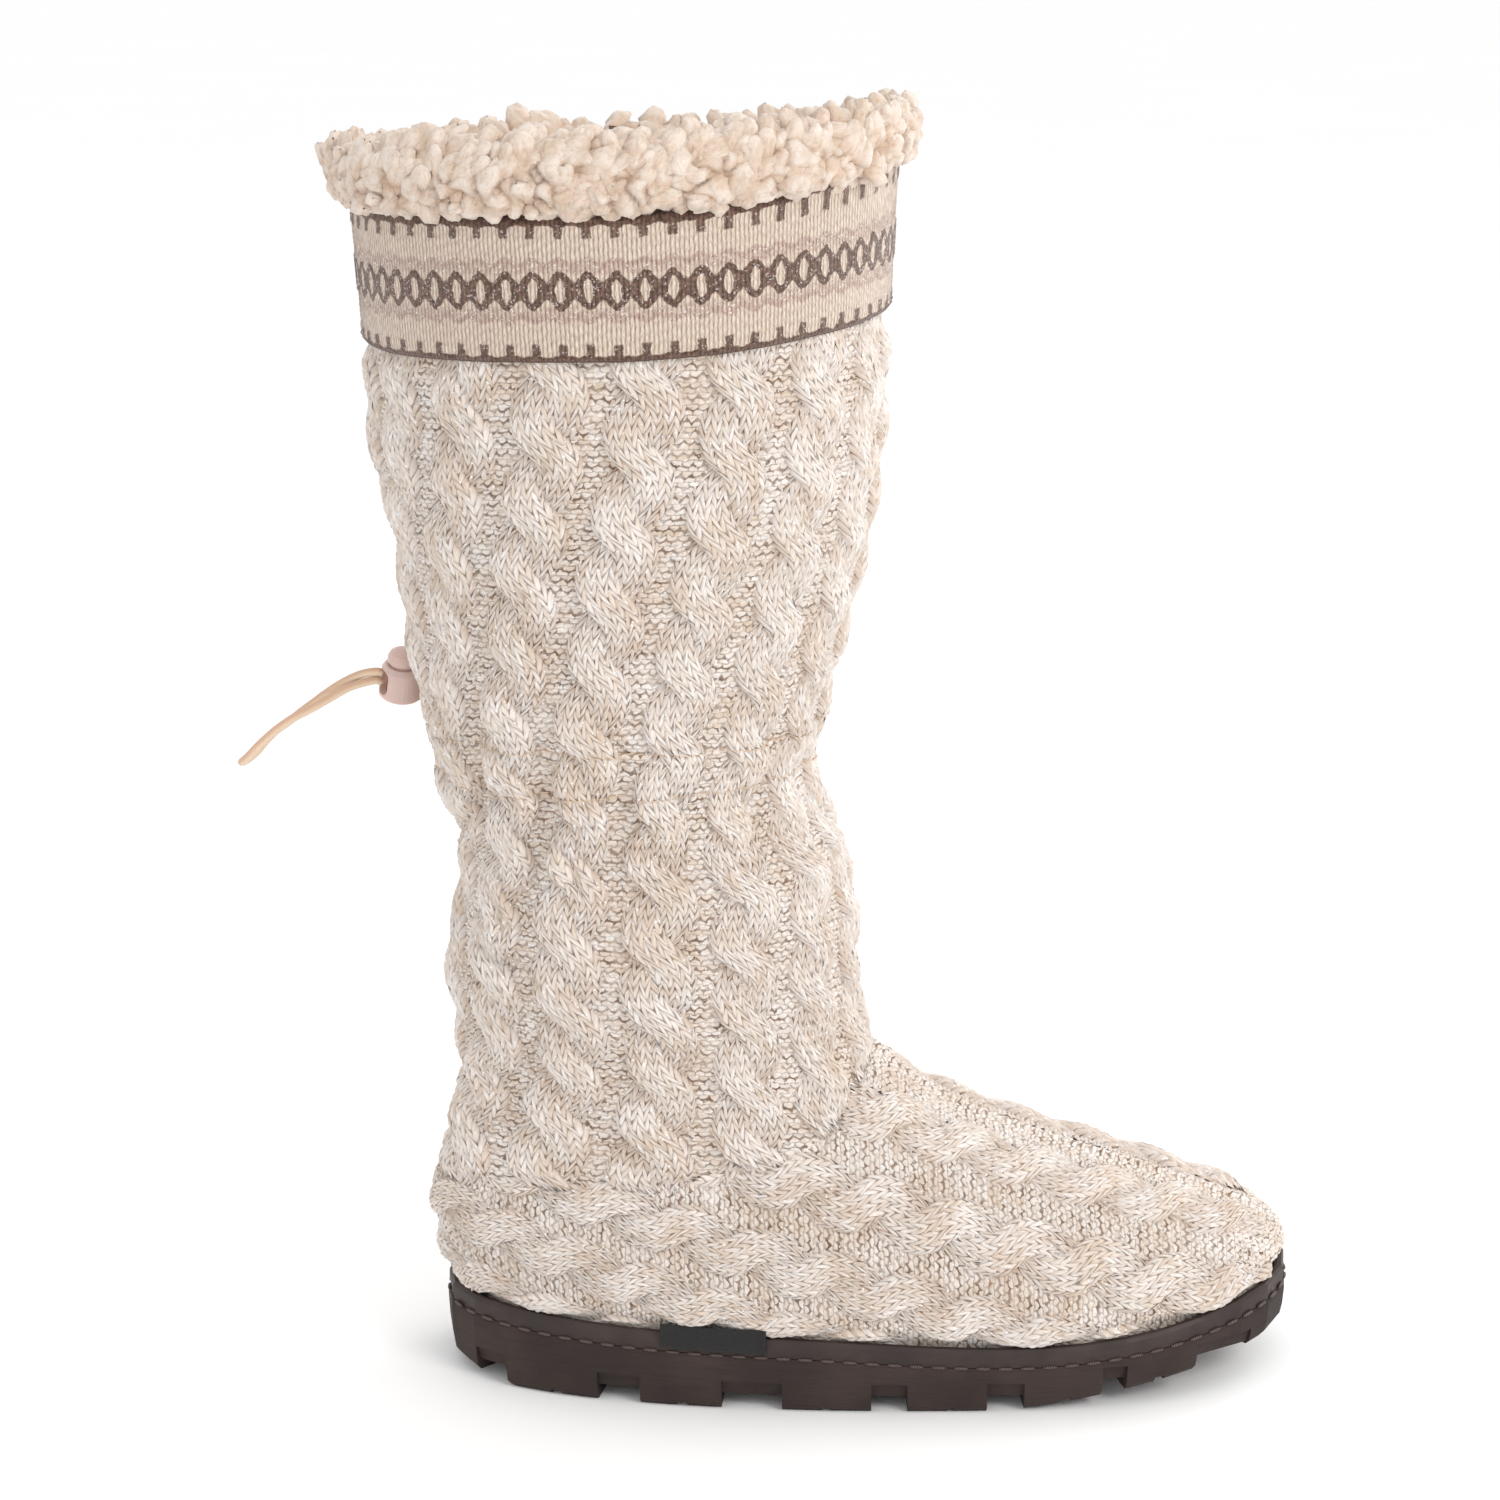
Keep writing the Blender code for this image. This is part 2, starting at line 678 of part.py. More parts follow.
def build_lock(plastic):
    lock = bpy.data.objects.new("cord_lock", None)
    bpy.context.scene.collection.objects.link(lock)
    lean = Matrix.Rotation(math.radians(LOCK_LEAN), 4, "Y")
    tip = Matrix.Rotation(math.radians(LOCK_TIP), 4, "X")
    yaw = Matrix.Rotation(math.radians(LOCK_YAW), 4, "Z")
    lock.matrix_world = Matrix.Translation(metres(LOCK_FOOT)) @ lean @ tip @ yaw
    cap_foot = BARREL_HEIGHT + BUTTON_TRAVEL
    barrel_profile = (
        (0, 0),
        (BARREL_RADIUS - 0.7, 0),
        (BARREL_RADIUS, 0.7),
        (BARREL_RADIUS - 0.25, BARREL_HEIGHT - 1.4),
        (BARREL_RADIUS - 1.3, BARREL_HEIGHT),
        (BARREL_BORE, BARREL_HEIGHT),
        (BARREL_BORE, BARREL_FLOOR),
        (0, BARREL_FLOOR),
    )
    button_profile = (
        (0, PLUNGER_FOOT),
        (PLUNGER_RADIUS, PLUNGER_FOOT),
        (PLUNGER_RADIUS, cap_foot),
        (CAP_RADIUS, cap_foot),
        (CAP_RADIUS, cap_foot + 0.36 * CAP_HEIGHT),
        (CAP_RADIUS - 0.7, cap_foot + 0.70 * CAP_HEIGHT),
        (CAP_RADIUS - 2.3, cap_foot + 0.93 * CAP_HEIGHT),
        (0, cap_foot + CAP_HEIGHT),
    )
    barrel = add_object("lock_barrel", turned("lock_barrel", barrel_profile), plastic)
    button = add_object("lock_button", turned("lock_button", button_profile), plastic)
    hole = add_object("barrel_cutter", hole_cutter("barrel_cutter", *BARREL_HOLE), plastic)
    slot = add_object("plunger_cutter", hole_cutter("plunger_cutter", *PLUNGER_SLOT), plastic)
    for piece in (barrel, button, hole, slot):
        piece.parent = lock
    cut(barrel, hole)
    cut(button, slot)


# ---------------------------------------------------------------- the drawcord

def smooth_route(route, step):
    """Points about a step apart on a smooth curve through a route's own points."""
    fine = []
    count = len(route)
    for i in range(count - 1):
        before = route[max(i - 1, 0)]
        start, end = route[i], route[i + 1]
        after = route[min(i + 2, count - 1)]
        for k in range(12):
            t = k / 12
            fine.append(0.5 * (2 * start + (end - before) * t + (2 * before - 5 * start + 4 * end - after) * t**2
                               + (3 * start - before - 3 * end + after) * t**3))
    fine.append(route[-1])
    fine = np.array(fine)
    length = np.concatenate([[0], np.cumsum(np.linalg.norm(np.diff(fine, axis=0), axis=1))])
    places = np.linspace(0, length[-1], round(length[-1] / step) + 1)
    return np.stack([np.interp(places, length, fine[:, k]) for k in range(3)], axis=1)


def build_drawcord(satin):
    curve = bpy.data.curves.new("drawcord", "CURVE")
    curve.dimensions = "3D"
    curve.bevel_depth = CORD_DIAMETER / 2 * MM
    curve.bevel_resolution = 2
    curve.use_fill_caps = True
    points = smooth_route([np.array(point) for point in CORD_ROUTE], CORD_STEP)
    spline = curve.splines.new("POLY")
    spline.points.add(len(points) - 1)
    for target, point in zip(spline.points, points):
        target.co = (*metres(point), 1)
    add_object("drawcord", curve, satin)


def clear_scene():
    for obj in list(bpy.data.objects):
        bpy.data.objects.remove(obj, do_unlink=True)


def main():
    clear_scene()
    build_outsole(material("brown rubber", (0.06, 0.045, 0.042), 0.75))
    build_rand(material("brown leather look", (0.065, 0.048, 0.045), 0.5))
    build_upper(material("cable knit", (0.74, 0.65, 0.55), 0.95))
    build_insole(material("insole pile", (0.82, 0.74, 0.64), 0.95))
    build_cuff_band(material("woven ribbon", (0.72, 0.6, 0.5), 0.8))
    build_collar(material("fleece", (0.87, 0.79, 0.68), 0.95))
    build_tag(material("tag cloth", (0.02, 0.017, 0.016), 0.8))
    build_lock(material("pink plastic", (0.6, 0.42, 0.38), 0.4))
    build_drawcord(material("satin cord", (0.75, 0.55, 0.38), 0.45))


main()
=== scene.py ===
"""Tall cable-knit boot slipper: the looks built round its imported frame.

One right boot stands empty on its sole: a cable-knit shaft and foot, a fleece collar, a woven cuff band,
a drawcord with its lock behind the shaft, a blank side tag and a brown lug sole.
"""

import json
import math

import bpy
import mathutils
import numpy as np
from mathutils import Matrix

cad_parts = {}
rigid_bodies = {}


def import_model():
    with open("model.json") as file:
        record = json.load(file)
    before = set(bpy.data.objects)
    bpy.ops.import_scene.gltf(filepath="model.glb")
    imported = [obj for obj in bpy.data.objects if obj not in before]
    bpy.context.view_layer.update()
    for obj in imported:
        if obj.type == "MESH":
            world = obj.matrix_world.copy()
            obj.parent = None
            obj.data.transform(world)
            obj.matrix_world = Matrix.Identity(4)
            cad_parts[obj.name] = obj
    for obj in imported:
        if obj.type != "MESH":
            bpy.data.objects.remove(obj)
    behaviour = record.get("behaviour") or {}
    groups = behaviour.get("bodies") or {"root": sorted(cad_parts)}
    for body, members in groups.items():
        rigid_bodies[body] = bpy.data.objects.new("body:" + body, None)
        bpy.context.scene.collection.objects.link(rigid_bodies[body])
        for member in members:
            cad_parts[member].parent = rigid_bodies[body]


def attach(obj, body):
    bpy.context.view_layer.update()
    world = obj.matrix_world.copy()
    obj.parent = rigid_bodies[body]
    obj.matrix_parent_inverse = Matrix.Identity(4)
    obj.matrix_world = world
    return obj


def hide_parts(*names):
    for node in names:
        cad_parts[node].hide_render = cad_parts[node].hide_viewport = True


bl_info = {
    "name": "Cable-knit boot slipper",
    "version": (1, 0, 0),
    "blender": (4, 5, 0),
    "location": "3D View > Sidebar > Boot",
    "description": "Builds a tall cable-knit boot slipper piece by piece",
    "category": "Add Mesh",
}

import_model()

MM = 0.001
SEED = 20

# ---------------------------------------------------------------- the last
# Lengths are in millimetres from the back of the heel along X, from the middle along Y and from the
# ground along Z, until metres() takes a point to the boot's own frame.

SOLE_LENGTH = 276.0
BALL_X = 178.0
HALF_WIDTH = 51.5
TOE_SWING = 5.5
WAIST_X = 108.0
WAIST_SPAN = 62.0
WAIST_CUT = 7.0
TOE_SQUARENESS = 2.3
HEEL_SQUARENESS = 2.55
ORIGIN_X = 122.4
GAP = 0.3
WALL = 4.0
RING_POINTS = 48              # a turn is one of these, counted from the toe round the outer side
DENSE = 960

SOLE_TOP = (
    # x, z
    (0, 23.4),
    (30, 21.0),
    (70, 19.0),
    (120, 17.8),
    (165, 15.4),
    (195, 15.2),
    (225, 17.6),
    (252, 22.4),
    (276, 27.8),
)

UPPER_SECTIONS = (
    # name, back x, back z, side x, side z, half width, front x, front z, front shape, back shape
    ("heel swell", -3.4, 52, 165, 45, 47.5, 269.0, 48.0, 2.25, 2.55),
    ("toe crown", -2.0, 66, 148, 59, 44.5, 253.0, 55.5, 2.10, 2.50),
    ("ball crown", 1.0, 78, 128, 71, 42.0, 226.0, 65.5, 1.90, 2.40),
    ("seam line", 4.0, 89, 108, 82, 41.5, 197.0, 75.5, 1.80, 2.30),
    ("instep", 6.0, 100, 92, 93, 42.5, 169.0, 86.5, 1.80, 2.20),
    ("throat", 6.5, 111, 80, 104, 44.5, 151.0, 97.5, 1.85, 2.15),
    ("ankle", 6.0, 123, 72, 118, 48.0, 138.5, 111.5, 1.95, 2.10),
    ("slouch", 3.0, 138, 68, 135, 51.5, 133.5, 131.0, 2.05, 2.10),
    ("fold", 6.0, 156, 68, 154, 53.5, 132.5, 152.0, 2.10, 2.10),
    ("gather", 9.5, 176, 68, 175, 55.0, 127.5, 177.0, 2.10, 2.10),
    ("casing foot", 4.0, 194, 62, 197, 56.5, 119.0, 199.0, 2.10, 2.10),
    ("casing head", -2.0, 217, 60, 219, 59.0, 121.5, 217.0, 2.10, 2.10),
    ("calf low", -6.0, 245, 61, 246, 63.5, 129.0, 246.0, 2.10, 2.10),
    ("calf mid", -10.5, 276, 62, 277, 68.0, 136.5, 277.0, 2.10, 2.10),
    ("calf high", -16.0, 304, 62, 307, 71.0, 140.0, 307.0, 2.10, 2.10),
    ("band foot", -17.0, 336, 62, 340, 72.5, 140.5, 341.0, 2.10, 2.10),
    ("band head", -19.5, 374, 61, 378, 74.0, 142.0, 380.0, 2.10, 2.10),
    ("top edge", -20.5, 384, 61, 384, 74.5, 143.0, 394.0, 2.10, 2.10),
)
RAND_TOP = 6.5
FEATHER_INSET = 4.2
SWELL_INSET = 0.6
SWELL_HEIGHT = 12.5

INSOLE_SECTION = (
    # inset, height above the outsole's top edge
    (10.0, 0.3),
    (8.8, 1.2),
    (8.6, 3.0),
    (8.8, 4.6),
    (9.6, 5.5),
    (11.6, 5.9),
    (18.0, 6.1),
    (28.0, 6.0),
    (38.0, 6.0),
    (46.0, 6.0),
)
INSOLE_POINTS = 192            # points round one ring of it
INSOLE_CROWN = 0.018           # how much it is raised in the middle, as a share of its width
INSOLE_WAVE = 0.25             # and how uneven its top is

BAND_FOOT = 340.5
BAND_HEAD = 378.5
COLLAR_ROLL = (
    # out from the upper's face, share of the way from the band's head to the collar's head
    (0.3, 0.00),
    (4.6, -0.10),
    (8.6, 0.10),
    (10.2, 0.42),
    (8.9, 0.74),
    (4.4, 0.94),
    (-2.0, 1.00),
    (-8.6, 0.92),
    (-13.0, 0.66),
    (-14.2, 0.20),
)
COLLAR_SKIRT = (
    # out from the upper's face, height on the boot's side
    (-13.0, 370.0),
    (-8.6, 363.5),
)
COLLAR_POINTS = 240            # points round one ring of the roll
ROLL_SINK = 2.2                # the roll's skin lies under its outline, and its clumps rise from there
CURL_GAP = 11.0                # how sparsely the clumps are sown
CURL_HEIGHT = 3.6
COLLAR_HEAD = 8.6
COLLAR_LIFT = (
    # turn, how much higher the head of the roll stands there
    (0, 2.0),
    (6, 9.0),
    (12, 10.5),
    (18, 8.0),
    (24, 1.0),
    (30, -3.0),
    (36, -4.0),
    (42, -2.0),
    (48, 2.0),
)
COLLAR_FOOT = 4.6
COLLAR_BACK_SWELL = 0.8
COLLAR_FRONT_SWELL = 0.66

# ---------------------------------------------------------------- the knit

ROW = 3.3                     # one row of stitches
LEG_SLANT = 2.0              # how far a leg runs along the cable to each side of its middle
STRAND_WALES = 4              # columns of stitches in one strand of a cable
COLUMNS = 16                  # cables round the shaft
SHAFT_PITCH = 22.6            # from one crossing of a cable to the next
FOOT_PITCH = 24.2
CABLE_SWAY = 0.190            # of the distance between cables
CABLE_SNAP = 1.0             # how fast a strand changes sides
CABLE_LEAN = 0.75              # how far a strand leans where it crosses over, which widens it
STRAND_REACH = 0.245          # half a strand's width, of the distance between cables
GROUND = -1.65                # the plain knit between the cables, from the last's face
STRAND_MIDDLE = 0.6          # a strand's back where the two run side by side
STRAND_RISE = 1.6            # how far a strand climbs to cross over the other
STRAND_DROP = 1.7             # its edges lie this much lower
STRAND_SKIRT = 0.9
ROW_BOW = 1.7                  # how far the rows of a strand bow along it
PURL_BEND = 0.64               # how curved the bumps of the plain knit are
SKIRT_FOOT = -1.9
LEG_CORNERS = (
    # shift along the cable, height on a row of legs, height between two rows
    (-LEG_SLANT, -0.20, -0.50),
    (0.0, 0.34, -0.36),
    (LEG_SLANT, 0.0, -0.42),
    (0.0, 0.34, -0.36),
)
ROW_SCATTER = 0.2              # how unevenly the rows of a strand lie
WALE_SCATTER = 0.006           # and its columns, as a share of the distance between cables
STRAND_FUZZ = 0.10             # how rough the surface of each kind of knit is
GROUND_FUZZ = 0.14
TOE_FUZZ = 0.12
SHAFT_CHANNEL = (0.24, 4)      # half width, as a share of the distance between cables, and bumps across
CABLE_COUNT = 16               # stitches counted on from one cable to the next, so that no two are alike
CHANNEL_COUNT = 5              # and from one channel to the next, on the shaft and on the foot
FOOT_CHANNEL_COUNT = 7

COLUMN_DRIFT = (
    # ring, turn of the middle channel between cables, turns from one channel to the next
    (4.0, 18.0, 3.00),
    (5.0, 17.9, 3.10),
    (6.0, 17.2, 3.50),
    (7.0, 16.0, 3.80),
    (8.0, 14.9, 4.15),
    (9.0, 13.8, 4.25),
    (10.0, 13.4, 3.85),
    (11.0, 13.7, 4.05),
    (12.0, 13.3, 3.70),
    (12.5, 12.9, 3.30),
    (13.2, 11.9, 3.25),
    (14.0, 11.5, 3.45),
    (15.0, 11.2, 3.05),
    (16.0, 10.8, 3.05),
    (17.0, 10.0, 2.85),
    (18.0, 9.7, 2.85),
)
FIRST_CROSSING = (9, 4, 20, 12, 9, 14, 8, 11, 15, 9, 13, 7, 12, 14, 15.5, 10)

SEAM = (
    # x, height of the seam between shaft and foot
    (-5, 66.0),
    (20, 69.0),
    (50, 70.5),
    (75, 72.0),
    (92, 76.0),
    (105, 79.5),
    (118, 84.5),
    (128, 94.0),
    (134, 103.0),
    (140, 109.0),
    (146, 112.0),
)
FOOT_SLOPE = 0.30             # the foot's cables fall this much towards the toe
HEEL_TURN_X = 60.0            # behind it the foot's rows are counted round the heel
FOOT_CABLES = (                # height on the side, run from the heel to a crossing, spacing
    (8.0, 50, 20.0),
    (30.5, 86, 21.5),
    (53.0, 93, 23.5),
    (80.5, 131, 27.5),
    (112.0, 200, 27.0),
)
FOOT_CHANNELS = (              # height on the side, half width, bumps across
    (19.5, 6.5, 4),
    (41.0, 6.5, 4),
    (65.5, 8.0, 5),
    (96.5, 9.0, 6),
    (131.0, 10.5, 7),
)

FOLDS = (
    # name, (turn, ring) of its points, width, depth
    ("behind the casing", ((17.6, 14.7), (18.1, 13.5), (19.0, 13.0), (20.4, 12.7), (22.5, 12.2)), 7.0, 3.0),
    ("under the casing", ((15.1, 13.9), (15.1, 13.2), (15.8, 12.7), (16.7, 12.3), (17.6, 11.9)), 6.0, 2.8),
    ("short fold", ((15.4, 12.8), (14.9, 12.4), (14.9, 12.0)), 4.0, 1.6),
    ("pocket", ((19.1, 11.5), (18.4, 11.1), (17.8, 11.4)), 5.0, 2.2),
    ("ankle fold", ((20.3, 10.8), (18.8, 10.5), (16.8, 10.35)), 5.0, 2.2),
    ("side fold", ((11.8, 13.7), (12.0, 13.0), (12.9, 12.6)), 6.0, 2.2),
    ("front fold", ((4.4, 13.7), (6.0, 13.1), (6.8, 12.7), (7.5, 12.3)), 5.0, 1.5),
    ("low fold", ((20.9, 7.9), (20.6, 7.2), (20.3, 6.6)), 5.0, 2.0),
    ("seat of the lock", ((24.6, 13.95), (25.4, 14.15)), 24.0, 3.4),
    ("inner fold", ((31.0, 13.4), (33.5, 12.6), (36.0, 12.2)), 7.0, 2.4),
    ("inner side fold", ((38.5, 13.2), (37.0, 12.5), (34.5, 11.4)), 6.0, 2.2),
)
BACKING_SINK = 2.9             # the sheet under the knit, from the last's face
LINING_FOOT = 0.6              # where the lining starts
LINING_PILE = 0.6              # and how far it stands off the wall
CASING_LINES = (13.32, 13.95)
CASING_GROOVE = (0.05, 1.1)    # half its width, in places, and its depth
ANKLE_GROOVE = (1.7, 0.8)      # the same for the groove along the seam round the ankle
ANKLE_TOP = 10                 # the groove lies under this place
CASING_PITCH = 3.3             # from one stitch of the casing to the next
CASING_STITCH = 2.3
CASING_THREAD = 0.22           # half its thickness
CASING_SEARCH = 8.0            # the knit is looked for from this far outside
SHAFT_FOOT = 9.5               # from this place up the shaft's knit goes all round
FOOT_HEAD = 9.6                # and the foot's knit stays under this one
FADE_RUN = 7.0                 # the relief fades over this distance at the seam and at the band
TOE_RUN = 8.0                  # and over this one at the toe
SEAM_LAP = 2.2                 # how far the knit of the shaft and of the foot lap under each other
RAND_LAP = 3.0                 # how far the knit goes on behind the rand's top edge
SEAM_HALF_WIDTH = 5.6
SEAM_RIDGE = 3.1               # its ridge is this much narrower
SEAM_HOLE = (0.35, 0.06)       # where its holes lie across the strip, and their size, as shares of it
VAMP_TURN = 9.0                # width of one turn beside the vamp seam
SEAMS = (                      # name, places from top to bottom, turn, width of one turn there
    ("vamp_seam", (8.9, 2.6), 0.0, VAMP_TURN),
    ("heel_seam", (7.6, 0.2), RING_POINTS / 2, 6.0),
)
TOE_PLACE = 3.4                # how high the plain knit at the front of the toe reaches
VAMP_PLACE = 8.0               # how high it goes on from there under the vamp
VAMP_SINK = 0.8                # how much lower it lies there
TOE_TURNS = 2.4                # how far it reaches to each side
TOE_WALES = 4.0                # its columns of bumps in one turn
SEAM_PITCH = 3.8

STITCH_PITCH = 7.0
STITCH_LENGTH = 4.6
STITCH_RADIUS = 0.55
STITCH_GROOVE = (0.85, 0.15)   # its inset, and its height above the outsole's top edge
BAND_REACH = (-1.5, 1.3)       # how far its edges lie above the band's own foot and head
BAND_RIBS = 6
BAND_TILT = (
    # turn, how much higher the band sits there
    (0, 6.0),
    (3, 5.6),
    (6, 4.2),
    (9, 1.8),
    (12, 0.2),
    (16, 0.0),
    (20, 0.6),
    (24, 2.0),
    (36, 2.5),
    (44, 5.0),
    (48, 6.0),
)
TAG_INSET = 0.4
TAG_FROM_X = 71.0
TAG_TO_X = 104.5
TAG_PROFILE = (
    # out from the rand, height above the outsole's top edge
    (0.15, 2.2),
    (0.80, 2.0),
    (0.86, 4.0),
    (0.84, 6.0),
    (0.90, 8.0),
    (0.92, 9.4),
    (0.70, 9.9),
    (0.20, 9.9),
    (0.05, 9.2),
    (0.05, 5.0),
    (0.15, 2.2),
)

CORD_DIAMETER = 2.7
CORD_ROUTE = (
    # x, y, z
    (-17.5, 6.8, 225.1),
    (-18.7, 6.0, 225.7),
    (-22.9, 5.5, 224.9),
    (-27.3, 5.1, 223.5),
    (-31.7, 4.8, 221.1),
    (-36.0, 4.6, 218.6),
    (-40.3, 4.5, 216.2),
    (-44.6, 4.5, 214.0),
    (-47.8, 4.7, 211.9),
    (-51.7, 5.1, 208.9),
    (-56.2, 5.8, 204.7),
    (-59.8, 6.8, 200.8),
    (-61.8, 8.2, 198.8),
    (-62.6, 9.8, 197.9),
    (-62.3, 11.5, 197.6),
    (-61.3, 13.0, 197.9),
    (-59.4, 14.1, 199.2),
    (-57.2, 14.6, 201.4),
    (-55.0, 14.5, 204.1),
    (-51.6, 13.9, 207.4),
    (-47.5, 12.8, 210.5),
    (-44.0, 11.7, 213.5),
    (-39.4, 10.4, 217.1),
    (-35.0, 9.2, 220.6),
    (-30.6, 8.1, 223.7),
    (-26.3, 7.2, 226.2),
    (-22.2, 6.6, 227.8),
    (-18.5, 6.2, 228.4),
    (-17.1, 6.7, 228.0),
)

CAMERA_LENS = 86.35
CAMERA_PLACE = (-0.0230, -1.0980, 0.4966)
CAMERA_TILT = 75.1
FLOOR_HALF = 14.0
SKY = 1.0
LIGHTS = (
    # name, place, aim, size, power, colour
    ("key", (1.15, -1.25, 1.35), (0.0, 0.0, 0.2), 0.9, 13.0, (1.0, 0.985, 0.965)),
    ("fill", (-1.3, -1.2, 0.7), (0.0, 0.0, 0.2), 1.3, 0.8, (0.97, 0.98, 1.0)),
    ("back", (1.2, 0.9, 0.9), (0.0, 0.0, 0.25), 1.2, 9.0, (1.0, 1.0, 1.0)),
)


# ---------------------------------------------------------------- the last's face

def metres(points):
    """Points measured in millimetres from the heel, in the boot's own frame in metres."""
    return (np.asarray(points, float) - np.array([ORIGIN_X, 0.0, 0.0])) * MM


def unit(vectors):
    """The same vectors, each with a length of one."""
    return vectors / np.linalg.norm(vectors, axis=-1)[..., None]


def run_along(line):
    """How far along a line each of its points lies."""
    return np.concatenate([[0], np.cumsum(np.linalg.norm(np.diff(line, axis=0), axis=1))])


def on_line(line, run, where):
    """The points of a line at distances along it."""
    return np.stack([np.interp(where, run, line[:, k]) for k in range(line.shape[1])], axis=1)


def step_along(table, place):
    """A column of a table at a place, with straight steps between its rows."""
    return np.interp(place, [row[0] for row in table], [row[1] for row in table])


def slopes_of(values, stations):
    """The slope at each station, taken from its two neighbours."""
    number = np.arange(len(values))
    low = np.maximum(number - 1, 0)
    high = np.minimum(number + 1, len(values) - 1)
    span = (stations[high] - stations[low]).reshape([-1] + [1] * (values.ndim - 1))
    return (values[high] - values[low]) / span


def joined(t, span, start, end, start_slope, end_slope):
    """A share t of the way on a smooth curve between two points with known slopes."""
    return ((2 * t**3 - 3 * t**2 + 1) * start + (t**3 - 2 * t**2 + t) * span * start_slope
            + (3 * t**2 - 2 * t**3) * end + (t**3 - t**2) * span * end_slope)


def threaded(t, before, start, end, after):
    """A share t of the way from start to end on a smooth curve through four points."""
    return 0.5 * (2 * start + (end - before) * t + (2 * before - 5 * start + 4 * end - after) * t**2
                  + (3 * start - before - 3 * end + after) * t**3)


def cubic_table(table, place):
    """The value at a place of a smooth curve through a table of (place, value) rows."""
    places, values = np.array(table, float).T
    slopes = slopes_of(values, places)
    place = np.clip(place, places[0], places[-1])
    i = np.clip(np.searchsorted(places, place, side="left") - 1, 0, len(table) - 2)
    span = places[i + 1] - places[i]
    return joined((place - places[i]) / span, span, values[i], values[i + 1], slopes[i], slopes[i + 1])


def sole_top(x):
    """Height of the outsole's top edge."""
    return cubic_table(SOLE_TOP, x)


def section_curve(back_x, side_x, half_width, front_x, front_shape, back_shape, waist):
    """One closed section in plan, from the toe round the outer side: an array of x, y rows."""
    angle = np.linspace(0, math.tau, DENSE, endpoint=False)
    cosine = np.cos(angle)
    sine = np.sin(angle)
    shape = np.where(cosine > 0, front_shape, back_shape)
    reach = np.where(cosine > 0, front_x - side_x, side_x - back_x)
    x = side_x + np.sign(cosine) * reach * np.abs(cosine) ** (2 / shape)
    y = -half_width * np.sign(sine) * np.abs(sine) ** (2 / shape)
    hollow = np.clip(1 - ((x - WAIST_X) / WAIST_SPAN) ** 2, 0, None) ** 2
    y = np.where(y > 0, y - waist * WAIST_CUT * hollow * y / half_width, y)
    swing = np.clip((x - WAIST_X) / (SOLE_LENGTH - WAIST_X), 0, None) ** 2
    return np.stack([x, y + TOE_SWING * swing], axis=1)


def inset_curve(curve, inset):
    """The same closed curve drawn in by a distance."""
    along = unit(np.roll(curve, -1, axis=0) - np.roll(curve, 1, axis=0))
    inward = np.stack([-along[:, 1], along[:, 0]], axis=1)
    return curve - inset * inward


def resample(curve, count):
    """count places round a closed section, evenly spread within each of its four quarters."""
    middle = (curve[:, 0].max() + curve[:, 0].min()) / 2
    half = len(curve) // 2
    outer = int(np.argmin(np.abs(curve[:half, 0] - middle)))
    inner = half + int(np.argmin(np.abs(curve[half:, 0] - middle)))
    corners = [0, outer, half, inner, len(curve)]
    closed = np.vstack([curve, curve[:1]])
    rows = []
    for start, end in zip(corners[:-1], corners[1:]):
        piece = closed[start:end + 1]
        run = run_along(piece[:, :2])
        rows.append(on_line(piece, run, np.linspace(0, run[-1], count // 4, endpoint=False)))
    return np.vstack(rows)


SOLE_CURVE = section_curve(0.0, BALL_X, HALF_WIDTH, SOLE_LENGTH, TOE_SQUARENESS, HEEL_SQUARENESS, 1.0)


def outline_ring(inset, lift, count=RING_POINTS):
    """A ring along the sole's outline, a lift above the outsole's top edge."""
    ring = resample(inset_curve(SOLE_CURVE, inset), count)
    return np.column_stack([ring, sole_top(ring[:, 0]) + lift])


def section_ring(row):
    """The ring of one row of UPPER_SECTIONS."""
    _, back_x, back_z, side_x, side_z, half_width, front_x, front_z, front_shape, back_shape = row
    waist = min(max((90 - side_z) / 60, 0), 1)
    plan = section_curve(back_x, side_x, half_width, front_x, front_shape, back_shape, waist)
    forward = (plan[:, 0] - side_x) / np.where(plan[:, 0] > side_x, front_x - side_x, side_x - back_x)
    end_z = np.where(forward > 0, front_z, back_z)
    z = side_z + (end_z - side_z) * forward ** 2
    return resample(np.column_stack([plan, z]), RING_POINTS)


CONTROLS = np.array(
    [outline_ring(FEATHER_INSET, GAP), outline_ring(FEATHER_INSET - 0.2, RAND_TOP),
     outline_ring(SWELL_INSET, SWELL_HEIGHT)] + [section_ring(row) for row in UPPER_SECTIONS])
LAST_PLACE = len(CONTROLS) - 1


def upper_rings(places):
    """Rings of the upper's outer face at places counted in control rings, smoothly joined."""
    gaps = np.linalg.norm(np.diff(CONTROLS, axis=0), axis=2).mean(axis=1)
    stations = np.concatenate([[0], np.cumsum(gaps)])
    slopes = slopes_of(CONTROLS, stations)
    places = np.array(places, float)[:, None, None]
    i = np.minimum(places.astype(int), LAST_PLACE - 1)[:, 0, 0]
    span = (stations[i + 1] - stations[i])[:, None, None]
    return joined(places - i[:, None, None], span, CONTROLS[i], CONTROLS[i + 1], slopes[i], slopes[i + 1])


def spread_round(rings, count):
    """The same rings with count points each, on a smooth closed curve."""
    turn = np.arange(count) * RING_POINTS / count
    i = np.floor(turn).astype(int)
    return threaded((turn - i)[None, :, None], *(rings[:, (i + k) % RING_POINTS] for k in (-1, 0, 1, 2)))


def outward(rings):
    """Unit normals of a stack of rings, pointing out of the boot."""
    return unit(np.cross(np.gradient(rings, axis=0), np.roll(rings, -1, axis=1) - np.roll(rings, 1, axis=1)))


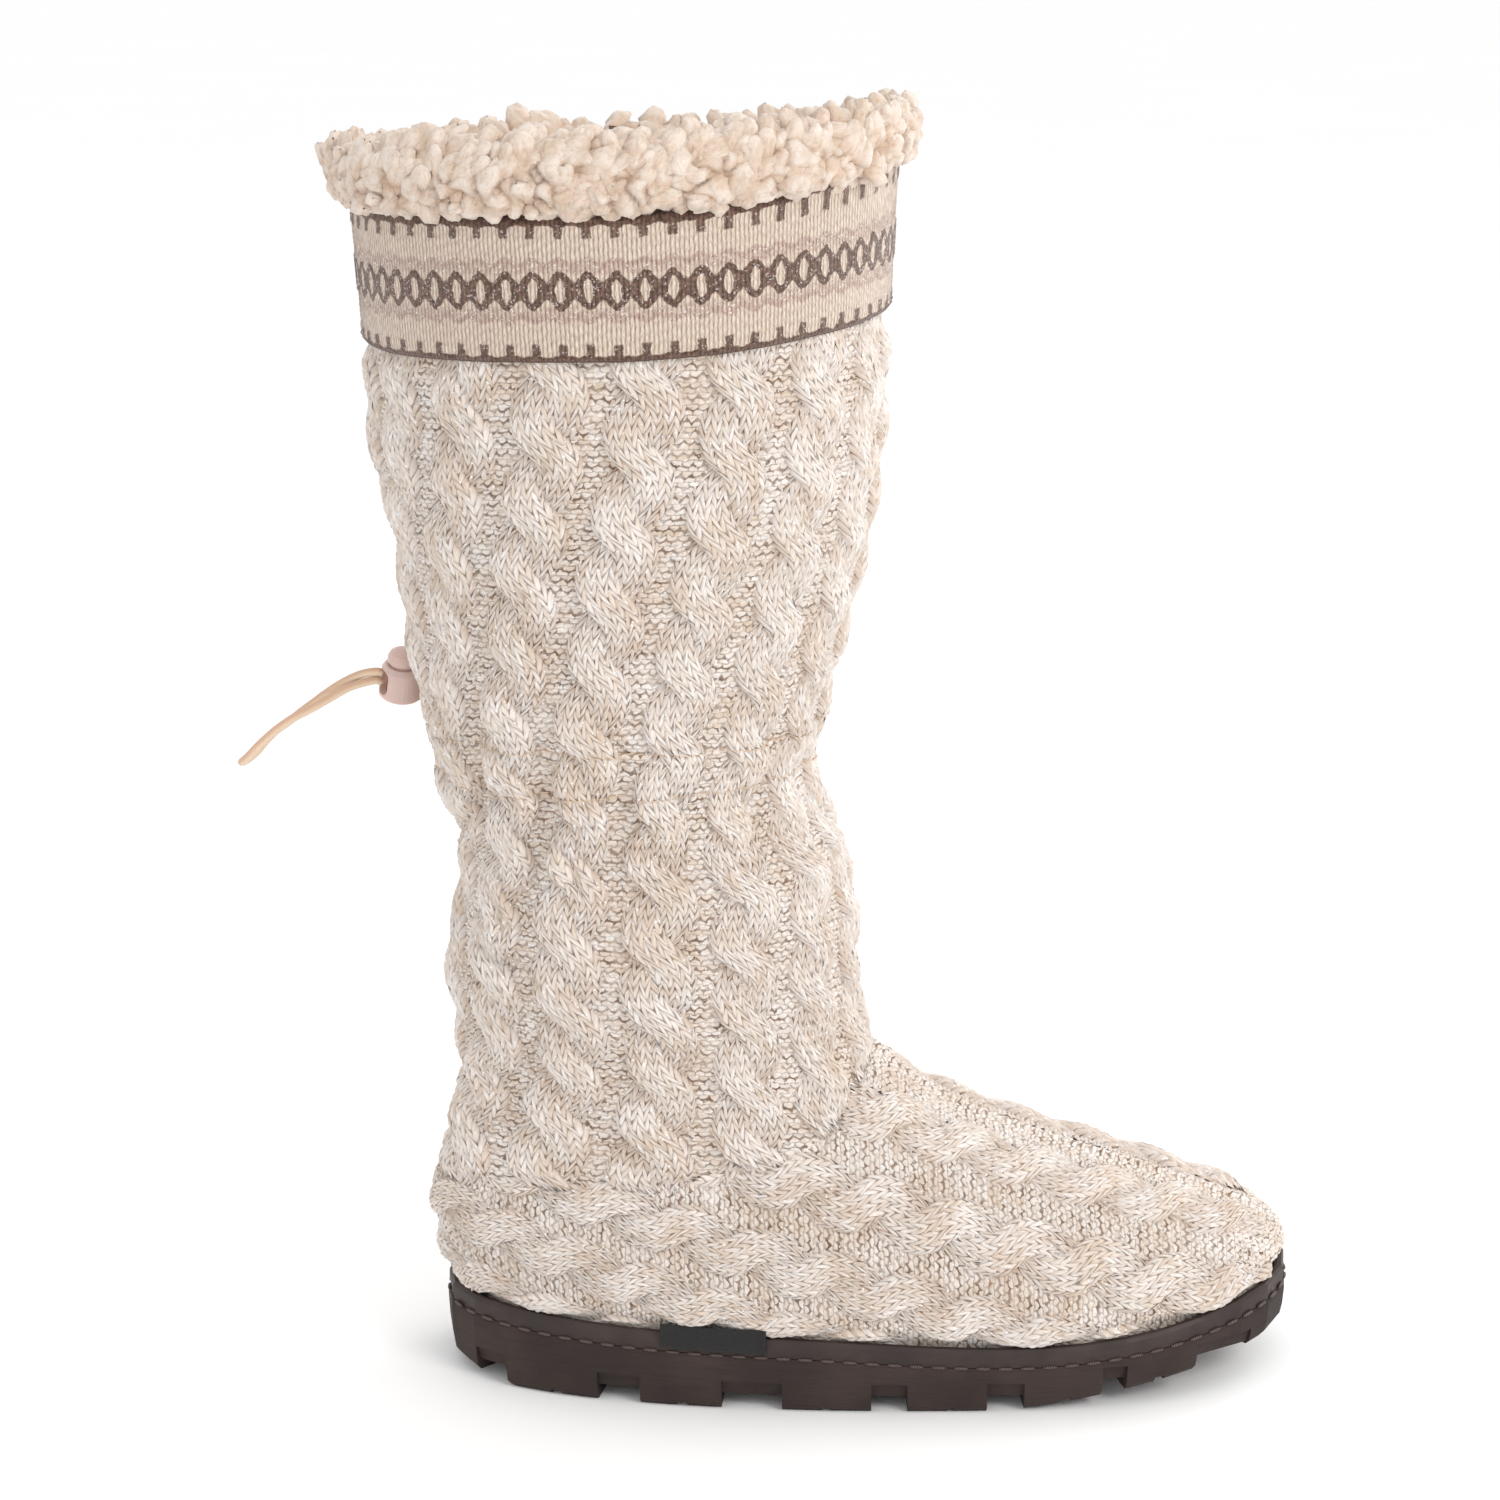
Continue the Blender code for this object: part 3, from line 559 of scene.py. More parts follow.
def place_of_height(height):
    """The place, counted in control rings, where the upper's sides pass a height."""
    heights = CONTROLS[:, RING_POINTS // 4, 2]
    return np.interp(height, heights, np.arange(len(heights)))


def lookup(table, row, column, wrap=True):
    """Values of a table between its rows and columns, which go round and round where they wrap."""
    last_row = table.shape[0] - 1
    row = np.clip(row, 0, last_row - 1e-6)
    i = np.floor(row).astype(int)
    if wrap:
        column = column % table.shape[1]
        j = np.floor(column).astype(int) % table.shape[1]
        k = (j + 1) % table.shape[1]
    else:
        column = np.clip(column, 0, table.shape[1] - 1 - 1e-6)
        j = np.floor(column).astype(int)
        k = j + 1
    s = row - i
    t = column - np.floor(column)
    if table.ndim == 3:
        s = s[..., None]
        t = t[..., None]
    return ((table[i, j] * (1 - t) + table[i, k] * t) * (1 - s)
            + (table[i + 1, j] * (1 - t) + table[i + 1, k] * t) * s)


def seam_height(x):
    """How high the seam between the shaft and the foot lies."""
    return step_along(SEAM, x)


def above_seam(points):
    """Distance above the seam between the shaft and the foot, in the side view."""
    x = points[..., 0]
    slope = (seam_height(x + 3) - seam_height(x - 3)) / 6
    return (points[..., 2] - seam_height(x)) / np.sqrt(1 + slope**2)


class Face:
    """The upper's outer face as a dense grid, with its folds and grooves pressed in."""

    rows_a_ring = 24
    around = 480

    def __init__(self):
        places = np.linspace(0, LAST_PLACE, LAST_PLACE * self.rows_a_ring + 1)
        self.points = spread_round(upper_rings(places), self.around)
        self.normals = outward(self.points)
        self.plain = self.points.copy()
        turns = np.arange(self.around) * RING_POINTS / self.around
        lift = self.slouch(places[:, None], turns[None, :])
        for _, path, width, depth in FOLDS:
            lift += self.fold(path, width, depth)
        for place in CASING_LINES:
            line = np.exp(-((places[:, None] - place) / CASING_GROOVE[0]) ** 2)
            lift -= CASING_GROOVE[1] * line * (0.8 + 0.2 * np.sin(turns[None, :] * 2.3))
        seam = np.exp(-(above_seam(self.points) / ANKLE_GROOVE[0]) ** 2)
        lift -= ANKLE_GROOVE[1] * seam * (places[:, None] < ANKLE_TOP)
        self.points = self.points + lift[:, :, None] * self.normals
        self.normals = outward(self.points)

    def slouch(self, place, turn):
        """Slow swells all over the soft shaft."""
        angle = turn * math.tau / RING_POINTS
        soft = np.clip((place - 6) / 3, 0, 1) * np.clip((18 - place) / 2, 0, 1)
        swell = (np.sin(2 * angle + 1.1 * place) * 0.5 + np.sin(3 * angle - 1.7 * place + 1) * 0.5
                 + np.sin(5 * angle + 2.3 * place + 2) * 0.3)
        return 0.9 * soft * swell

    def at(self, place, turn):
        """Points and normals of the face at places and turns."""
        row = np.asarray(place) * self.rows_a_ring
        column = np.asarray(turn) * self.around / RING_POINTS
        return lookup(self.points, row, column), lookup(self.normals, row, column)

    def fold(self, path, width, depth):
        """A soft trough along a path, with a low swell on each side."""
        steps = np.linspace(0, len(path) - 1, 60)
        turn = np.interp(steps, range(len(path)), [row[0] for row in path])
        place = np.interp(steps, range(len(path)), [row[1] for row in path])
        line = lookup(self.plain, place * self.rows_a_ring, turn * self.around / RING_POINTS)
        strength = np.sin(np.linspace(0.12, 0.88, 60) * math.pi) ** 0.6
        low = max(int((place.min() - 1.4) * self.rows_a_ring), 0)
        high = min(int((place.max() + 1.4) * self.rows_a_ring), len(self.plain))
        lift = np.zeros(self.plain.shape[:2])
        for i in range(low, high):
            gap = np.linalg.norm(self.plain[i][:, None] - line[None], axis=2)
            nearest = gap.argmin(axis=1)
            away = gap.min(axis=1) / width
            trough = -np.exp(-(away / 0.55) ** 2) + 0.34 * np.exp(-((away - 1.25) / 0.5) ** 2)
            lift[i] = depth * strength[nearest] * trough
        return lift


FACE = Face()


# ---------------------------------------------------------------- lanes of knit

def channel_turns(place):
    """The turns of the channels between the shaft's cables at each place: one more column than the input."""
    rings, middles, pitches = zip(*COLUMN_DRIFT)
    reference = np.interp(place, rings, middles)
    pitch = np.interp(place, rings, pitches)
    sway = np.minimum(2.0, 2.55 * (pitch - 3))
    channel = np.arange(COLUMNS + 1)
    wave = np.sin(math.tau * (channel - 0.5) / COLUMNS) + math.sin(math.pi / COLUMNS)
    return reference[..., None] + 3 * channel + sway[..., None] * wave


class ShaftLane:
    """A lane of knit that runs down the shaft; place counts cables, and a half lies in a channel."""

    top = float(place_of_height(BAND_FOOT + 4))
    foot = 4.0

    def __init__(self, place):
        self.index = int(math.floor(place))
        self.share = place - self.index
        self.places = np.linspace(self.top, self.foot, 700)
        self.run = run_along(FACE.at(self.places, self.turn(self.places, 0.0))[0])
        self.length = self.run[-1]
        self.under_band = float(np.interp(-place_of_height(BAND_FOOT), -self.places, self.run))

    def turn(self, places, across):
        """The turns of points at places down the lane and shares of a cable's width across it."""
        lines = channel_turns(places)
        start = np.take(lines, self.index, axis=-1)
        end = np.take(lines, self.index + 1, axis=-1)
        return start + (self.share + across) * (end - start)

    def lay(self, along, across):
        """Points and normals at distances along and shares of a cable's width across, and what is kept."""
        places = np.interp(along, self.run, self.places)
        points, normals = FACE.at(places, self.turn(places, across))
        seam = above_seam(points)
        above = places > SHAFT_FOOT
        keep = (seam > -SEAM_LAP) | above
        fade = np.clip((along - self.under_band + 1) / FADE_RUN, 0.35, 1)
        fade = fade * np.where(above, 1, np.clip(0.5 + seam / FADE_RUN, 0.1, 1))
        return points, normals, keep, fade


class FootSections:
    """Sections across one side of the foot, from the middle of the heel to the toe."""

    step = 2.0
    turned = 26
    low = -12.0
    high = 140.0

    def __init__(self, side):
        places = np.linspace(0, 10.5, 240)
        turns = np.linspace(0, RING_POINTS / 2, 400)
        if side > 0:
            turns = RING_POINTS - turns
        grid, _ = FACE.at(places[:, None], turns[None, :])
        reach = np.arange(HEEL_TURN_X, 271, self.step)
        level = np.arange(self.low, self.high + 0.5, 1.0)
        at_turn = [np.interp(HEEL_TURN_X, row[::-1, 0], turns[::-1]) for row in grid]
        heel = RING_POINTS / 2
        self.place_table = []
        self.turn_table = []
        self.inside = []
        for share in np.linspace(0, 1, self.turned, endpoint=False):
            self.add(places, heel + share * (np.array(at_turn) - heel), level)
        for x in reach:
            ok = np.array([row[:, 0].max() > x for row in grid])
            turn = np.array([np.interp(x, row[::-1, 0], turns[::-1]) for row in grid])
            self.add(places[ok], turn[ok], level)
        self.place_table = np.array(self.place_table)
        self.turn_table = np.array(self.turn_table)
        self.inside = np.array(self.inside, float)

    def add(self, places, turn, level):
        """One section: where each level lies on it, counted up from the rand along the face."""
        line, _ = FACE.at(places, turn)
        arc = run_along(line) + line[0, 2]
        value = np.maximum.accumulate(arc + FOOT_SLOPE * (line[:, 0] - 100) + np.arange(len(arc)) * 1e-6)
        self.place_table.append(np.interp(level, value, places))
        self.turn_table.append(np.interp(level, value, turn))
        self.inside.append((level > value[0] - 0.5) & (level < value[-1]))

    def at(self, section, level):
        """Place and turn of a level on a section, and whether the level reaches it."""
        column = np.asarray(level) - self.low
        tables = (self.place_table, self.turn_table, self.inside)
        place, turn, inside = (lookup(table, np.asarray(section), column, wrap=False) for table in tables)
        return place, turn, inside > 0.999


class FootLane:
    """A lane of knit that runs from the middle of the heel along one side of the foot."""

    def __init__(self, sections, level, spacing=24.0):
        self.sections = sections
        self.level = level
        self.spacing = spacing
        self.index = np.linspace(0, len(sections.place_table) - 1, 700)
        places, turns, _ = sections.at(self.index, level)
        self.run = run_along(FACE.at(places, turns)[0])
        self.length = self.run[-1]

    def lay(self, along, across):
        """The same as on the shaft, for the foot."""
        section = np.interp(along, self.run, self.index)
        places, turns, inside = self.sections.at(section, self.level + across * self.spacing)
        points, normals = FACE.at(places, turns)
        seam = above_seam(points)
        keep = inside & (seam < SEAM_LAP) & (above_rand(points) > -RAND_LAP) & (places < FOOT_HEAD)
        middle = np.minimum(turns, RING_POINTS - turns) * VAMP_TURN
        fade = np.clip(0.5 - seam / FADE_RUN, 0.1, 1) * flat_at_rand(points)
        fade = fade * np.clip((middle - 3.0) / 6.0, 0, 1) * np.clip((self.length - along) / TOE_RUN, 0, 1)
        return points, normals, keep, fade


# ---------------------------------------------------------------- meshes from grids

class Patchwork:
    """Grids of points gathered into one mesh, with a map of its stitches and how deep each point lies."""

    def __init__(self):
        self.points = []
        self.quads = []
        self.maps = []
        self.depths = []
        self.count = 0

    def add(self, points, across, along, depth, keep=None, closed=False, facing=None):
        """One grid; across and along count stitches, depth is 0 on top and 1 in the gaps."""
        rows, columns = points.shape[:2]
        index = np.arange(rows * columns).reshape(rows, columns)
        if closed:
            index = np.hstack([index, index[:, :1]])
        corners = [index[:-1, :-1], index[:-1, 1:], index[1:, 1:], index[1:, :-1]]
        quads = np.stack(corners, axis=2).reshape(-1, 4)
        if keep is not None:
            quads = quads[keep.ravel()[quads].all(axis=1)]
        if facing is not None:
            wide = points[:-1, 1:] - points[:-1, :-1]
            tall = points[1:, :-1] - points[:-1, :-1]
            if np.sum(np.cross(wide, tall) * facing[:-1, :-1]) < 0:
                quads = quads[:, ::-1]
        used = np.unique(quads)
        renumber = np.full(rows * columns, -1)
        renumber[used] = np.arange(len(used))
        self.points.append(points.reshape(-1, 3)[used])
        self.quads.append(renumber[quads] + self.count)
        across, along, depth = (np.broadcast_to(part, (rows, columns)).ravel()[used]
                                for part in (across, along, depth))
        self.maps.append(np.stack([across, along], axis=1))
        self.depths.append(depth)
        self.count += len(used)

    def build(self, name, material, body):
        """The mesh as a piece that rides on a body and takes its finish from a slot."""
        points = metres(np.concatenate(self.points))
        quads = np.concatenate(self.quads)
        stitches = np.concatenate(self.maps)
        mesh = bpy.data.meshes.new(name)
        mesh.vertices.add(len(points))
        mesh.vertices.foreach_set("co", points.astype(np.float32).ravel())
        mesh.loops.add(len(quads) * 4)
        mesh.loops.foreach_set("vertex_index", quads.astype(np.int32).ravel())
        mesh.polygons.add(len(quads))
        mesh.polygons.foreach_set("loop_start", np.arange(0, len(quads) * 4, 4, dtype=np.int32))
        mesh.polygons.foreach_set("loop_total", np.full(len(quads), 4, dtype=np.int32))
        mesh.update(calc_edges=True)
        layer = mesh.uv_layers.new(name="stitches")
        layer.data.foreach_set("uv", stitches[quads.ravel()].astype(np.float32).ravel())
        deep = mesh.attributes.new("depth", "FLOAT", "POINT")
        deep.data.foreach_set("value", np.concatenate(self.depths).astype(np.float32))
        mesh.validate()
        mesh.shade_smooth()
        piece = bpy.data.objects.new(name, mesh)
        bpy.context.scene.collection.objects.link(piece)
        mesh.materials.append(material)
        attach(piece, body)
        return piece


class Plain:
    """The sums that a pattern needs, on plain arrays. Wire has the same ones for the shaders."""

    most = np.maximum
    wave = np.sin
    size = np.abs

    @staticmethod
    def over(value, low, high):
        share = np.clip((value - low) / (high - low), 0, 1)
        return share * share * (3 - 2 * share)

    @staticmethod
    def near(value):
        return (value + 0.5) % 1.0 - 0.5


def rounded(share, power):
    """A round back: one in the middle of -1 to 1 and nothing at its edges."""
    return np.sqrt(np.clip(1 - np.abs(share) ** power, 0, 1))


def strand_back(middle, share):
    """Height of a strand across its width, from -1 to 1."""
    away = np.abs(share)
    skirt = STRAND_SKIRT + np.clip(middle - STRAND_MIDDLE, 0, 3)
    return middle - STRAND_DROP * np.minimum(away, 1.2) ** 2.4 - skirt * Plain.over(away, 0.84, 1.0)


def sew_cable(work, lane, first, pitch, way, relief, rng, columns=0.0):
    """Both strands of one cable; first is a crossing and way the side that the upper strand heads for."""
    thirds = np.arange(0, int(lane.length / (ROW / 3)) + 1)
    share = np.linspace(-1, 1, STRAND_WALES * 4 + 1)
    shift, plump, gap = np.array(LEG_CORNERS).T[:, np.arange(len(share)) % len(LEG_CORNERS)]
    stitch = np.where((thirds % 3 == 0)[:, None], gap[None, :], plump[None, :])
    for strand in (0, 1):
        bow = shift - ROW_BOW * share ** 2
        along = thirds[:, None] * ROW / 3 + bow[None, :] + rng.normal(0, ROW_SCATTER, stitch.shape)
        turn = math.pi * ((along - first) / pitch + 0.5 + strand)
        swing = np.tanh(CABLE_SNAP * np.cos(turn))
        centre = way * CABLE_SWAY * swing / math.tanh(CABLE_SNAP)
        lean = CABLE_LEAN * CABLE_SNAP * np.sin(turn) * (1 - swing ** 2)
        climb = STRAND_RISE * np.sin(turn)
        reach = STRAND_REACH * np.sqrt(1 + lean ** 2)
        across = centre + share[None, :] * reach + rng.normal(0, WALE_SCATTER, stitch.shape)
        points, normals, keep, fade = lane.lay(along, across)
        height = strand_back(STRAND_MIDDLE + climb, share[None, :])
        # How low the strand lies, which the knit's shader turns into painted shade.
        depth = np.clip((1.1 - height) / 3.2, 0, 1) ** 1.2
        lift = SKIRT_FOOT + (height - SKIRT_FOOT) * fade * relief + stitch * (0.45 + 0.55 * fade)
        lift = lift + rng.normal(0, STRAND_FUZZ, lift.shape)
        wales = (share + 1) / 2 * STRAND_WALES
        work.add(points + lift[..., None] * normals, wales[None, :] + columns + 7 * strand,
                 thirds[:, None] / 3, depth, keep, facing=normals)


def purl(across, along, bend, sums):
    """One lattice of the long low bumps of plain knit: one on top and nothing in the gaps."""
    wide = sums.near(across)
    tall = sums.near(along + wide * wide * bend)
    return sums.most(1 - wide * wide * 3.2 - tall * tall * 14.0, 0.0)


def bumps_at(wale, row, sums):
    """Both lattices together, each between the bumps of the other."""
    under = purl(wale + 0.5, row + 0.5, -PURL_BEND, sums)
    return sums.most(purl(wale, row, PURL_BEND, sums), under)


def above_rand(points):
    """How far points lie above the rand's top edge."""
    return points[..., 2] - sole_top(points[..., 0]) - RAND_TOP


def flat_at_rand(points):
    """How much of its relief the knit keeps where it goes down behind the rand."""
    return np.clip(0.45 + above_rand(points) / 4, 0.3, 1)


def sewn(points):
    """Where a piece of the foot's knit is kept, from under the rand's edge to the seam round the ankle."""
    return (above_rand(points) > -RAND_LAP) & (above_seam(points) < 0.8)


def sew_ground(work, lane, half_width, bumps, rng, columns=0.0):
    """The plain bumpy knit in a channel; half_width is a share of the cable spacing."""
    quarter = ROW / 4
    rows = np.arange(0, int(lane.length / quarter) + 1)
    share = np.linspace(-1, 1, bumps * 2 + 1)
    points, normals, keep, fade = lane.lay(rows[:, None] * quarter, share[None, :] * half_width)
    row = rows[:, None] / 4
    wale = (share[None, :] + 1) / 2 * bumps
    top = bumps_at(wale, row, Plain)
    lift = SKIRT_FOOT + (GROUND - 0.15 + 1.0 * top - SKIRT_FOOT) * fade
    lift = lift - 0.5 * np.abs(share[None, :]) ** 4 + rng.normal(0, GROUND_FUZZ, top.shape)
    work.add(points + lift[..., None] * normals, wale + columns, row, np.clip(0.8 - 0.8 * top, 0, 1), keep,
             facing=normals)


# ---------------------------------------------------------------- shader maths

def sum_node(operation, swapped=False):
    """A wire's method that adds one maths node to its tree."""
    def method(self, *others):
        values = [*others, self] if swapped else [self, *others]
        return self.tree.node("ShaderNodeMath", {"operation": operation}, values)
    return method


class Wire:
    """A socket of a shader, so that sums on it add their nodes."""

    __add__ = __radd__ = sum_node("ADD")
    __sub__ = sum_node("SUBTRACT")
    __rsub__ = sum_node("SUBTRACT", swapped=True)
    __mul__ = __rmul__ = sum_node("MULTIPLY")
    __truediv__ = sum_node("DIVIDE")
    fraction = sum_node("FRACT")
    whole = sum_node("FLOOR")
    wave = sum_node("SINE")
    size = sum_node("ABSOLUTE")
    most = sum_node("MAXIMUM")
    least = sum_node("MINIMUM")
    power = sum_node("POWER")

    def __init__(self, tree, socket):
        self.tree = tree
        self.socket = socket

    def near(self):
        """How far from the nearest whole number."""
        return (self + 0.5).fraction() - 0.5

    def over(self, low, high):
        """Nothing under low, one over high, and a smooth rise between."""
        settings = {"interpolation_type": "SMOOTHSTEP"}
        inputs = {"Value": self, "From Min": low, "From Max": high}
        return self.tree.node("ShaderNodeMapRange", settings, inputs)


class Tree:
    """The nodes of one material."""

    def __init__(self, name):
        self.material = bpy.data.materials.new(name)
        self.material.use_nodes = True
        self.nodes = self.material.node_tree.nodes
        self.links = self.material.node_tree.links
        self.shader = self.nodes["Principled BSDF"]

    def node(self, kind, settings, inputs, output=0):
        """A node of a kind: its settings first, then the values or wires of its sockets, then one output."""
        made = self.nodes.new(kind)
        for key, value in settings.items():
            setattr(made, key, value)
        pairs = inputs.items() if isinstance(inputs, dict) else enumerate(inputs)
        for key, value in pairs:
            self.feed(made.inputs[key], value)
        return Wire(self, made.outputs[output])

    def feed(self, socket, value):
        """Joins a wire to a socket, or writes a value on it; a colour gets its fourth number."""
        if isinstance(value, Wire):
            self.links.new(value.socket, socket)
        else:
            socket.default_value = (*value, 1.0) if socket.type == "RGBA" else value

    def place(self):
        return self.node("ShaderNodeTexCoord", {}, {}, "Object")

    def stitches(self):
        """Across and along, counted in stitches."""
        where = self.node("ShaderNodeUVMap", {"uv_map": "stitches"}, {})
        across = self.node("ShaderNodeSeparateXYZ", {}, [where])
        return across, Wire(self, across.socket.node.outputs[1])

    def depth(self):
        return self.node("ShaderNodeAttribute", {"attribute_name": "depth"}, {}, "Fac")

    def vector(self, x, y, z=0.0):
        return self.node("ShaderNodeCombineXYZ", {}, [x, y, z])

    def scaled(self, vector, scale):
        return self.node("ShaderNodeVectorMath", {"operation": "MULTIPLY"}, [vector, scale])

    def noise(self, vector, scale, detail=2.0, roughness=0.5):
        inputs = {"Vector": vector, "Scale": scale, "Detail": detail, "Roughness": roughness}
        return self.node("ShaderNodeTexNoise", {}, inputs, "Fac")

    def cells(self, vector, scale, output="Distance"):
        return self.node("ShaderNodeTexVoronoi", {}, {"Vector": vector, "Scale": scale}, output)

    def chance(self, number):
        """A random value for each whole number of a vector."""
        return self.node("ShaderNodeTexWhiteNoise", {"noise_dimensions": "3D"}, {"Vector": number})

    def specks(self, vector, scale, low, high):
        """A few small spots of a fine cell pattern."""
        return self.node("ShaderNodeSeparateXYZ", {}, [self.cells(vector, scale, "Color")], 0).over(low, high)

    def blend(self, share, first, second, kind="MIX"):
        """From the first colour to the second by a share."""
        settings = {"data_type": "RGBA", "blend_type": kind}
        return self.node("ShaderNodeMix", settings, {0: share, 6: first, 7: second}, 2)

    def tint(self, share, first, second):
        """The first colour multiplied towards the second by a share."""
        return self.blend(share, first, second, "MULTIPLY")

    def surface(self, colour, roughness, height=None, depth=0.0003, strength=1.0, **plain):
        """Feeds the shader; height is a relief of the given depth in metres."""
        sockets = {"Base Color": colour, "Roughness": roughness, **plain}
        if height is not None:
            settings = {"Strength": strength, "Distance": depth, "Height": height}
            sockets["Normal"] = self.node("ShaderNodeBump", {}, settings)
        for name, value in sockets.items():
            self.feed(self.shader.inputs[name.replace("_", " ")], value)
        return self.material


def linear(red, green, blue):
    """A colour given in display steps of 0 to 255, as light."""
    shares = [channel / 255 for channel in (red, green, blue)]
    return tuple(s / 12.92 if s <= 0.04045 else ((s + 0.055) / 1.055) ** 2.4 for s in shares)


# ---------------------------------------------------------------- finishes


def marl(tree, where, one, along_leg):
    """The yarn's colour: cream and beige in patches, from leg to leg and in streaks along each leg."""
    patch = tree.noise(where, 62.0, 3.0, 0.62).over(0.38, 0.64)
    streak = tree.noise(along_leg, 1.0, 2.0, 0.6).over(0.35, 0.68)
    share = (patch * 0.42 + streak * 0.38 + one * 0.50 - 0.16).least(1.0).most(0.0)
    return tree.blend(share, paint("cream"), paint("beige"))


def glitter(tree, where, colour):
    """A few specks of metallic thread, painted bright as painted glints, and where they are."""
    glint = tree.specks(where, 1900.0, 0.972, 0.978)
    return tree.blend(glint * 0.75, colour, linear(252, 252, 255)), glint


def knit_finish():
    """Cable legs of soft marled yarn with fine fibres, painted shade between the legs and in the low parts of
    the strands, and a few specks of metallic thread painted bright as painted glints.
    """
    tree = Tree("marled knit")
    across, along = tree.stitches()
    where = tree.place()
    over_leg = along.fraction() - 0.5
    on_leg = (across * 2.0).fraction() - 0.5
    number = tree.vector(along.whole(), (across * 2.0).whole())
    one = tree.chance(number)
    half_width = 0.5 - on_leg * on_leg * 0.7
    off = over_leg.size() / half_width
    end = (on_leg.size() * 2.0).power(6.0)
    fibre = tree.noise(tree.vector(across * 1.6 + one * 7.0, over_leg * 11.0 + one * 30.0), 1.6, 3.0, 0.65)
    colour = marl(tree, where, one, tree.vector(across * 1.2 + one * 9.0, over_leg * 5.0 + one * 20.0))
    # Painted shade: the colour darkens in the gaps between the legs and at their ends, in patches, and more
    # where the strand lies low.
    patchy = tree.noise(tree.vector(across * 2.1 + one * 5.0, along * 1.1), 1.0, 2.0, 0.6).over(0.32, 0.62)
    gap = off.over(0.74, 1.06) * (0.15 + patchy * 0.95) + end * 0.3
    dark = (gap * (0.65 + tree.depth() * 0.35) + tree.depth() * 0.30).least(1.0)
    colour = tree.tint(dark, colour, linear(146, 124, 108))
    colour = tree.tint((fibre.over(0.56, 0.8)) * 0.35, colour, linear(206, 190, 176))
    colour, glint = glitter(tree, where, colour)
    height = 1.0 - off * off * 0.8 + fibre * 0.45 - end * 0.3
    return tree.surface(colour, 0.88 - glint * 0.6, height, 0.00040, 0.72,
                        Sheen_Weight=0.25, Sheen_Roughness=0.5)


def ground_finish():
    """The bumpy plain knit in the channels, with painted shade between its bumps."""
    tree = Tree("plain knit")
    across, along = tree.stitches()
    where = tree.place()
    loose_across = across + (tree.noise(where, 230.0, 2.0, 0.6) - 0.5) * 0.9
    loose_along = along + (tree.noise(where, 310.0, 2.0, 0.6) - 0.5) * 0.8
    top = bumps_at(loose_across, loose_along, Wire)
    number = tree.vector((along * 2.0 + 0.5).whole(), (across + 0.5).whole())
    one = tree.chance(number)
    fibre = tree.noise(tree.vector(across * 3.0, along * 9.0), 1.7, 3.0, 0.6)
    colour = marl(tree, where, one, tree.vector(across * 1.5, along * 4.0))
    # Painted shade: the colour darkens between the bumps, more in some patches than in others.
    patchy_shade = tree.noise(where, 240.0, 2.0, 0.6).over(0.3, 0.7)
    colour = tree.tint((1.0 - top.over(0.0, 0.6)) * (0.42 + patchy_shade * 0.58), colour, linear(138, 118, 102))
    colour, glint = glitter(tree, where, colour)
    height = top + fibre * 0.45
    return tree.surface(colour, 0.9 - glint * 0.6, height, 0.0004, 0.85, Sheen_Weight=0.25)


def fleece_finish():
    """Curly pile: cream tips, fine fibres along each lock and warm shadows between the locks."""
    tree = Tree("cream fleece")
    across, along = tree.stitches()
    where = tree.place()
    curl = tree.noise(where, 170.0, 4.0, 0.6)
    fibre = tree.noise(tree.vector(across * 11.0, along * 2.2), 1.6, 4.0, 0.7)
    fine = tree.noise(where, 900.0, 4.0, 0.7)
    colour = tree.blend(curl.over(0.34, 0.62), linear(211, 192, 174), paint("fleece"))
    colour = tree.tint(fibre.over(0.46, 0.72) * 0.7, colour, linear(226, 206, 188))
    colour = tree.tint(tree.depth() * 0.8, colour, linear(228, 204, 182))
    height = fibre * 0.6 + fine * 0.4
    return tree.surface(colour, 0.95, height, 0.0006, 0.8, Sheen_Weight=0.35, Sheen_Roughness=0.4)


def lining_finish():
    """The pile inside the shaft, pressed flat, with painted shade in the creases between its clumps."""
    tree = Tree("pile lining")
    where = tree.place()
    clump = tree.cells(where, 190.0)
    curl = tree.noise(where, 420.0, 4.0, 0.6)
    colour = tree.blend(curl.over(0.3, 0.65), linear(214, 188, 160), linear(244, 232, 214))
    # Painted shade: darker towards the edges of each clump, where the bump sinks.
    colour = tree.tint(clump.over(0.5, 0.95) * 0.5, colour, linear(196, 160, 132))
    return tree.surface(colour, 0.96, curl * 0.5 - clump * 0.7, 0.0016, 0.9, Sheen_Weight=0.4)


def rubber_finish():
    """Matte brown rubber with a fine horizontal grain."""
    tree = Tree("brown rubber")
    where = tree.place()
    grain = tree.noise(tree.scaled(where, (0.3, 0.3, 6.0)), 260.0, 3.0, 0.6)
    fine = tree.noise(where, 1500.0, 2.0, 0.5)
    cloud = tree.noise(where, 38.0, 2.0, 0.5)
    colour = tree.blend(cloud.over(0.3, 0.7), linear(48, 38, 35), paint("rubber"))
    colour = tree.tint(grain.over(0.45, 0.7) * 0.22, colour, linear(140, 126, 120))
    return tree.surface(colour, 0.62 + fine * 0.2, grain * 0.6 + fine * 0.4, 0.00022, 0.7,
                        Specular_IOR_Level=0.3)


def leather_finish():
    """Smooth dark brown rand, a little shiny, with soft creases."""
    tree = Tree("brown rand")
    where = tree.place()
    crease = tree.noise(tree.scaled(where, (1.0, 1.0, 2.4)), 150.0, 3.0, 0.55)
    pore = tree.cells(where, 1400.0)
    cloud = tree.noise(where, 60.0, 2.0, 0.5)
    colour = tree.blend(cloud.over(0.3, 0.7), linear(46, 36, 33), paint("rand"))
    return tree.surface(colour, 0.46 + crease * 0.25, crease * 0.8 + pore * 0.2, 0.0003, 0.55,
                        Coat_Weight=0.05, Specular_IOR_Level=0.35)


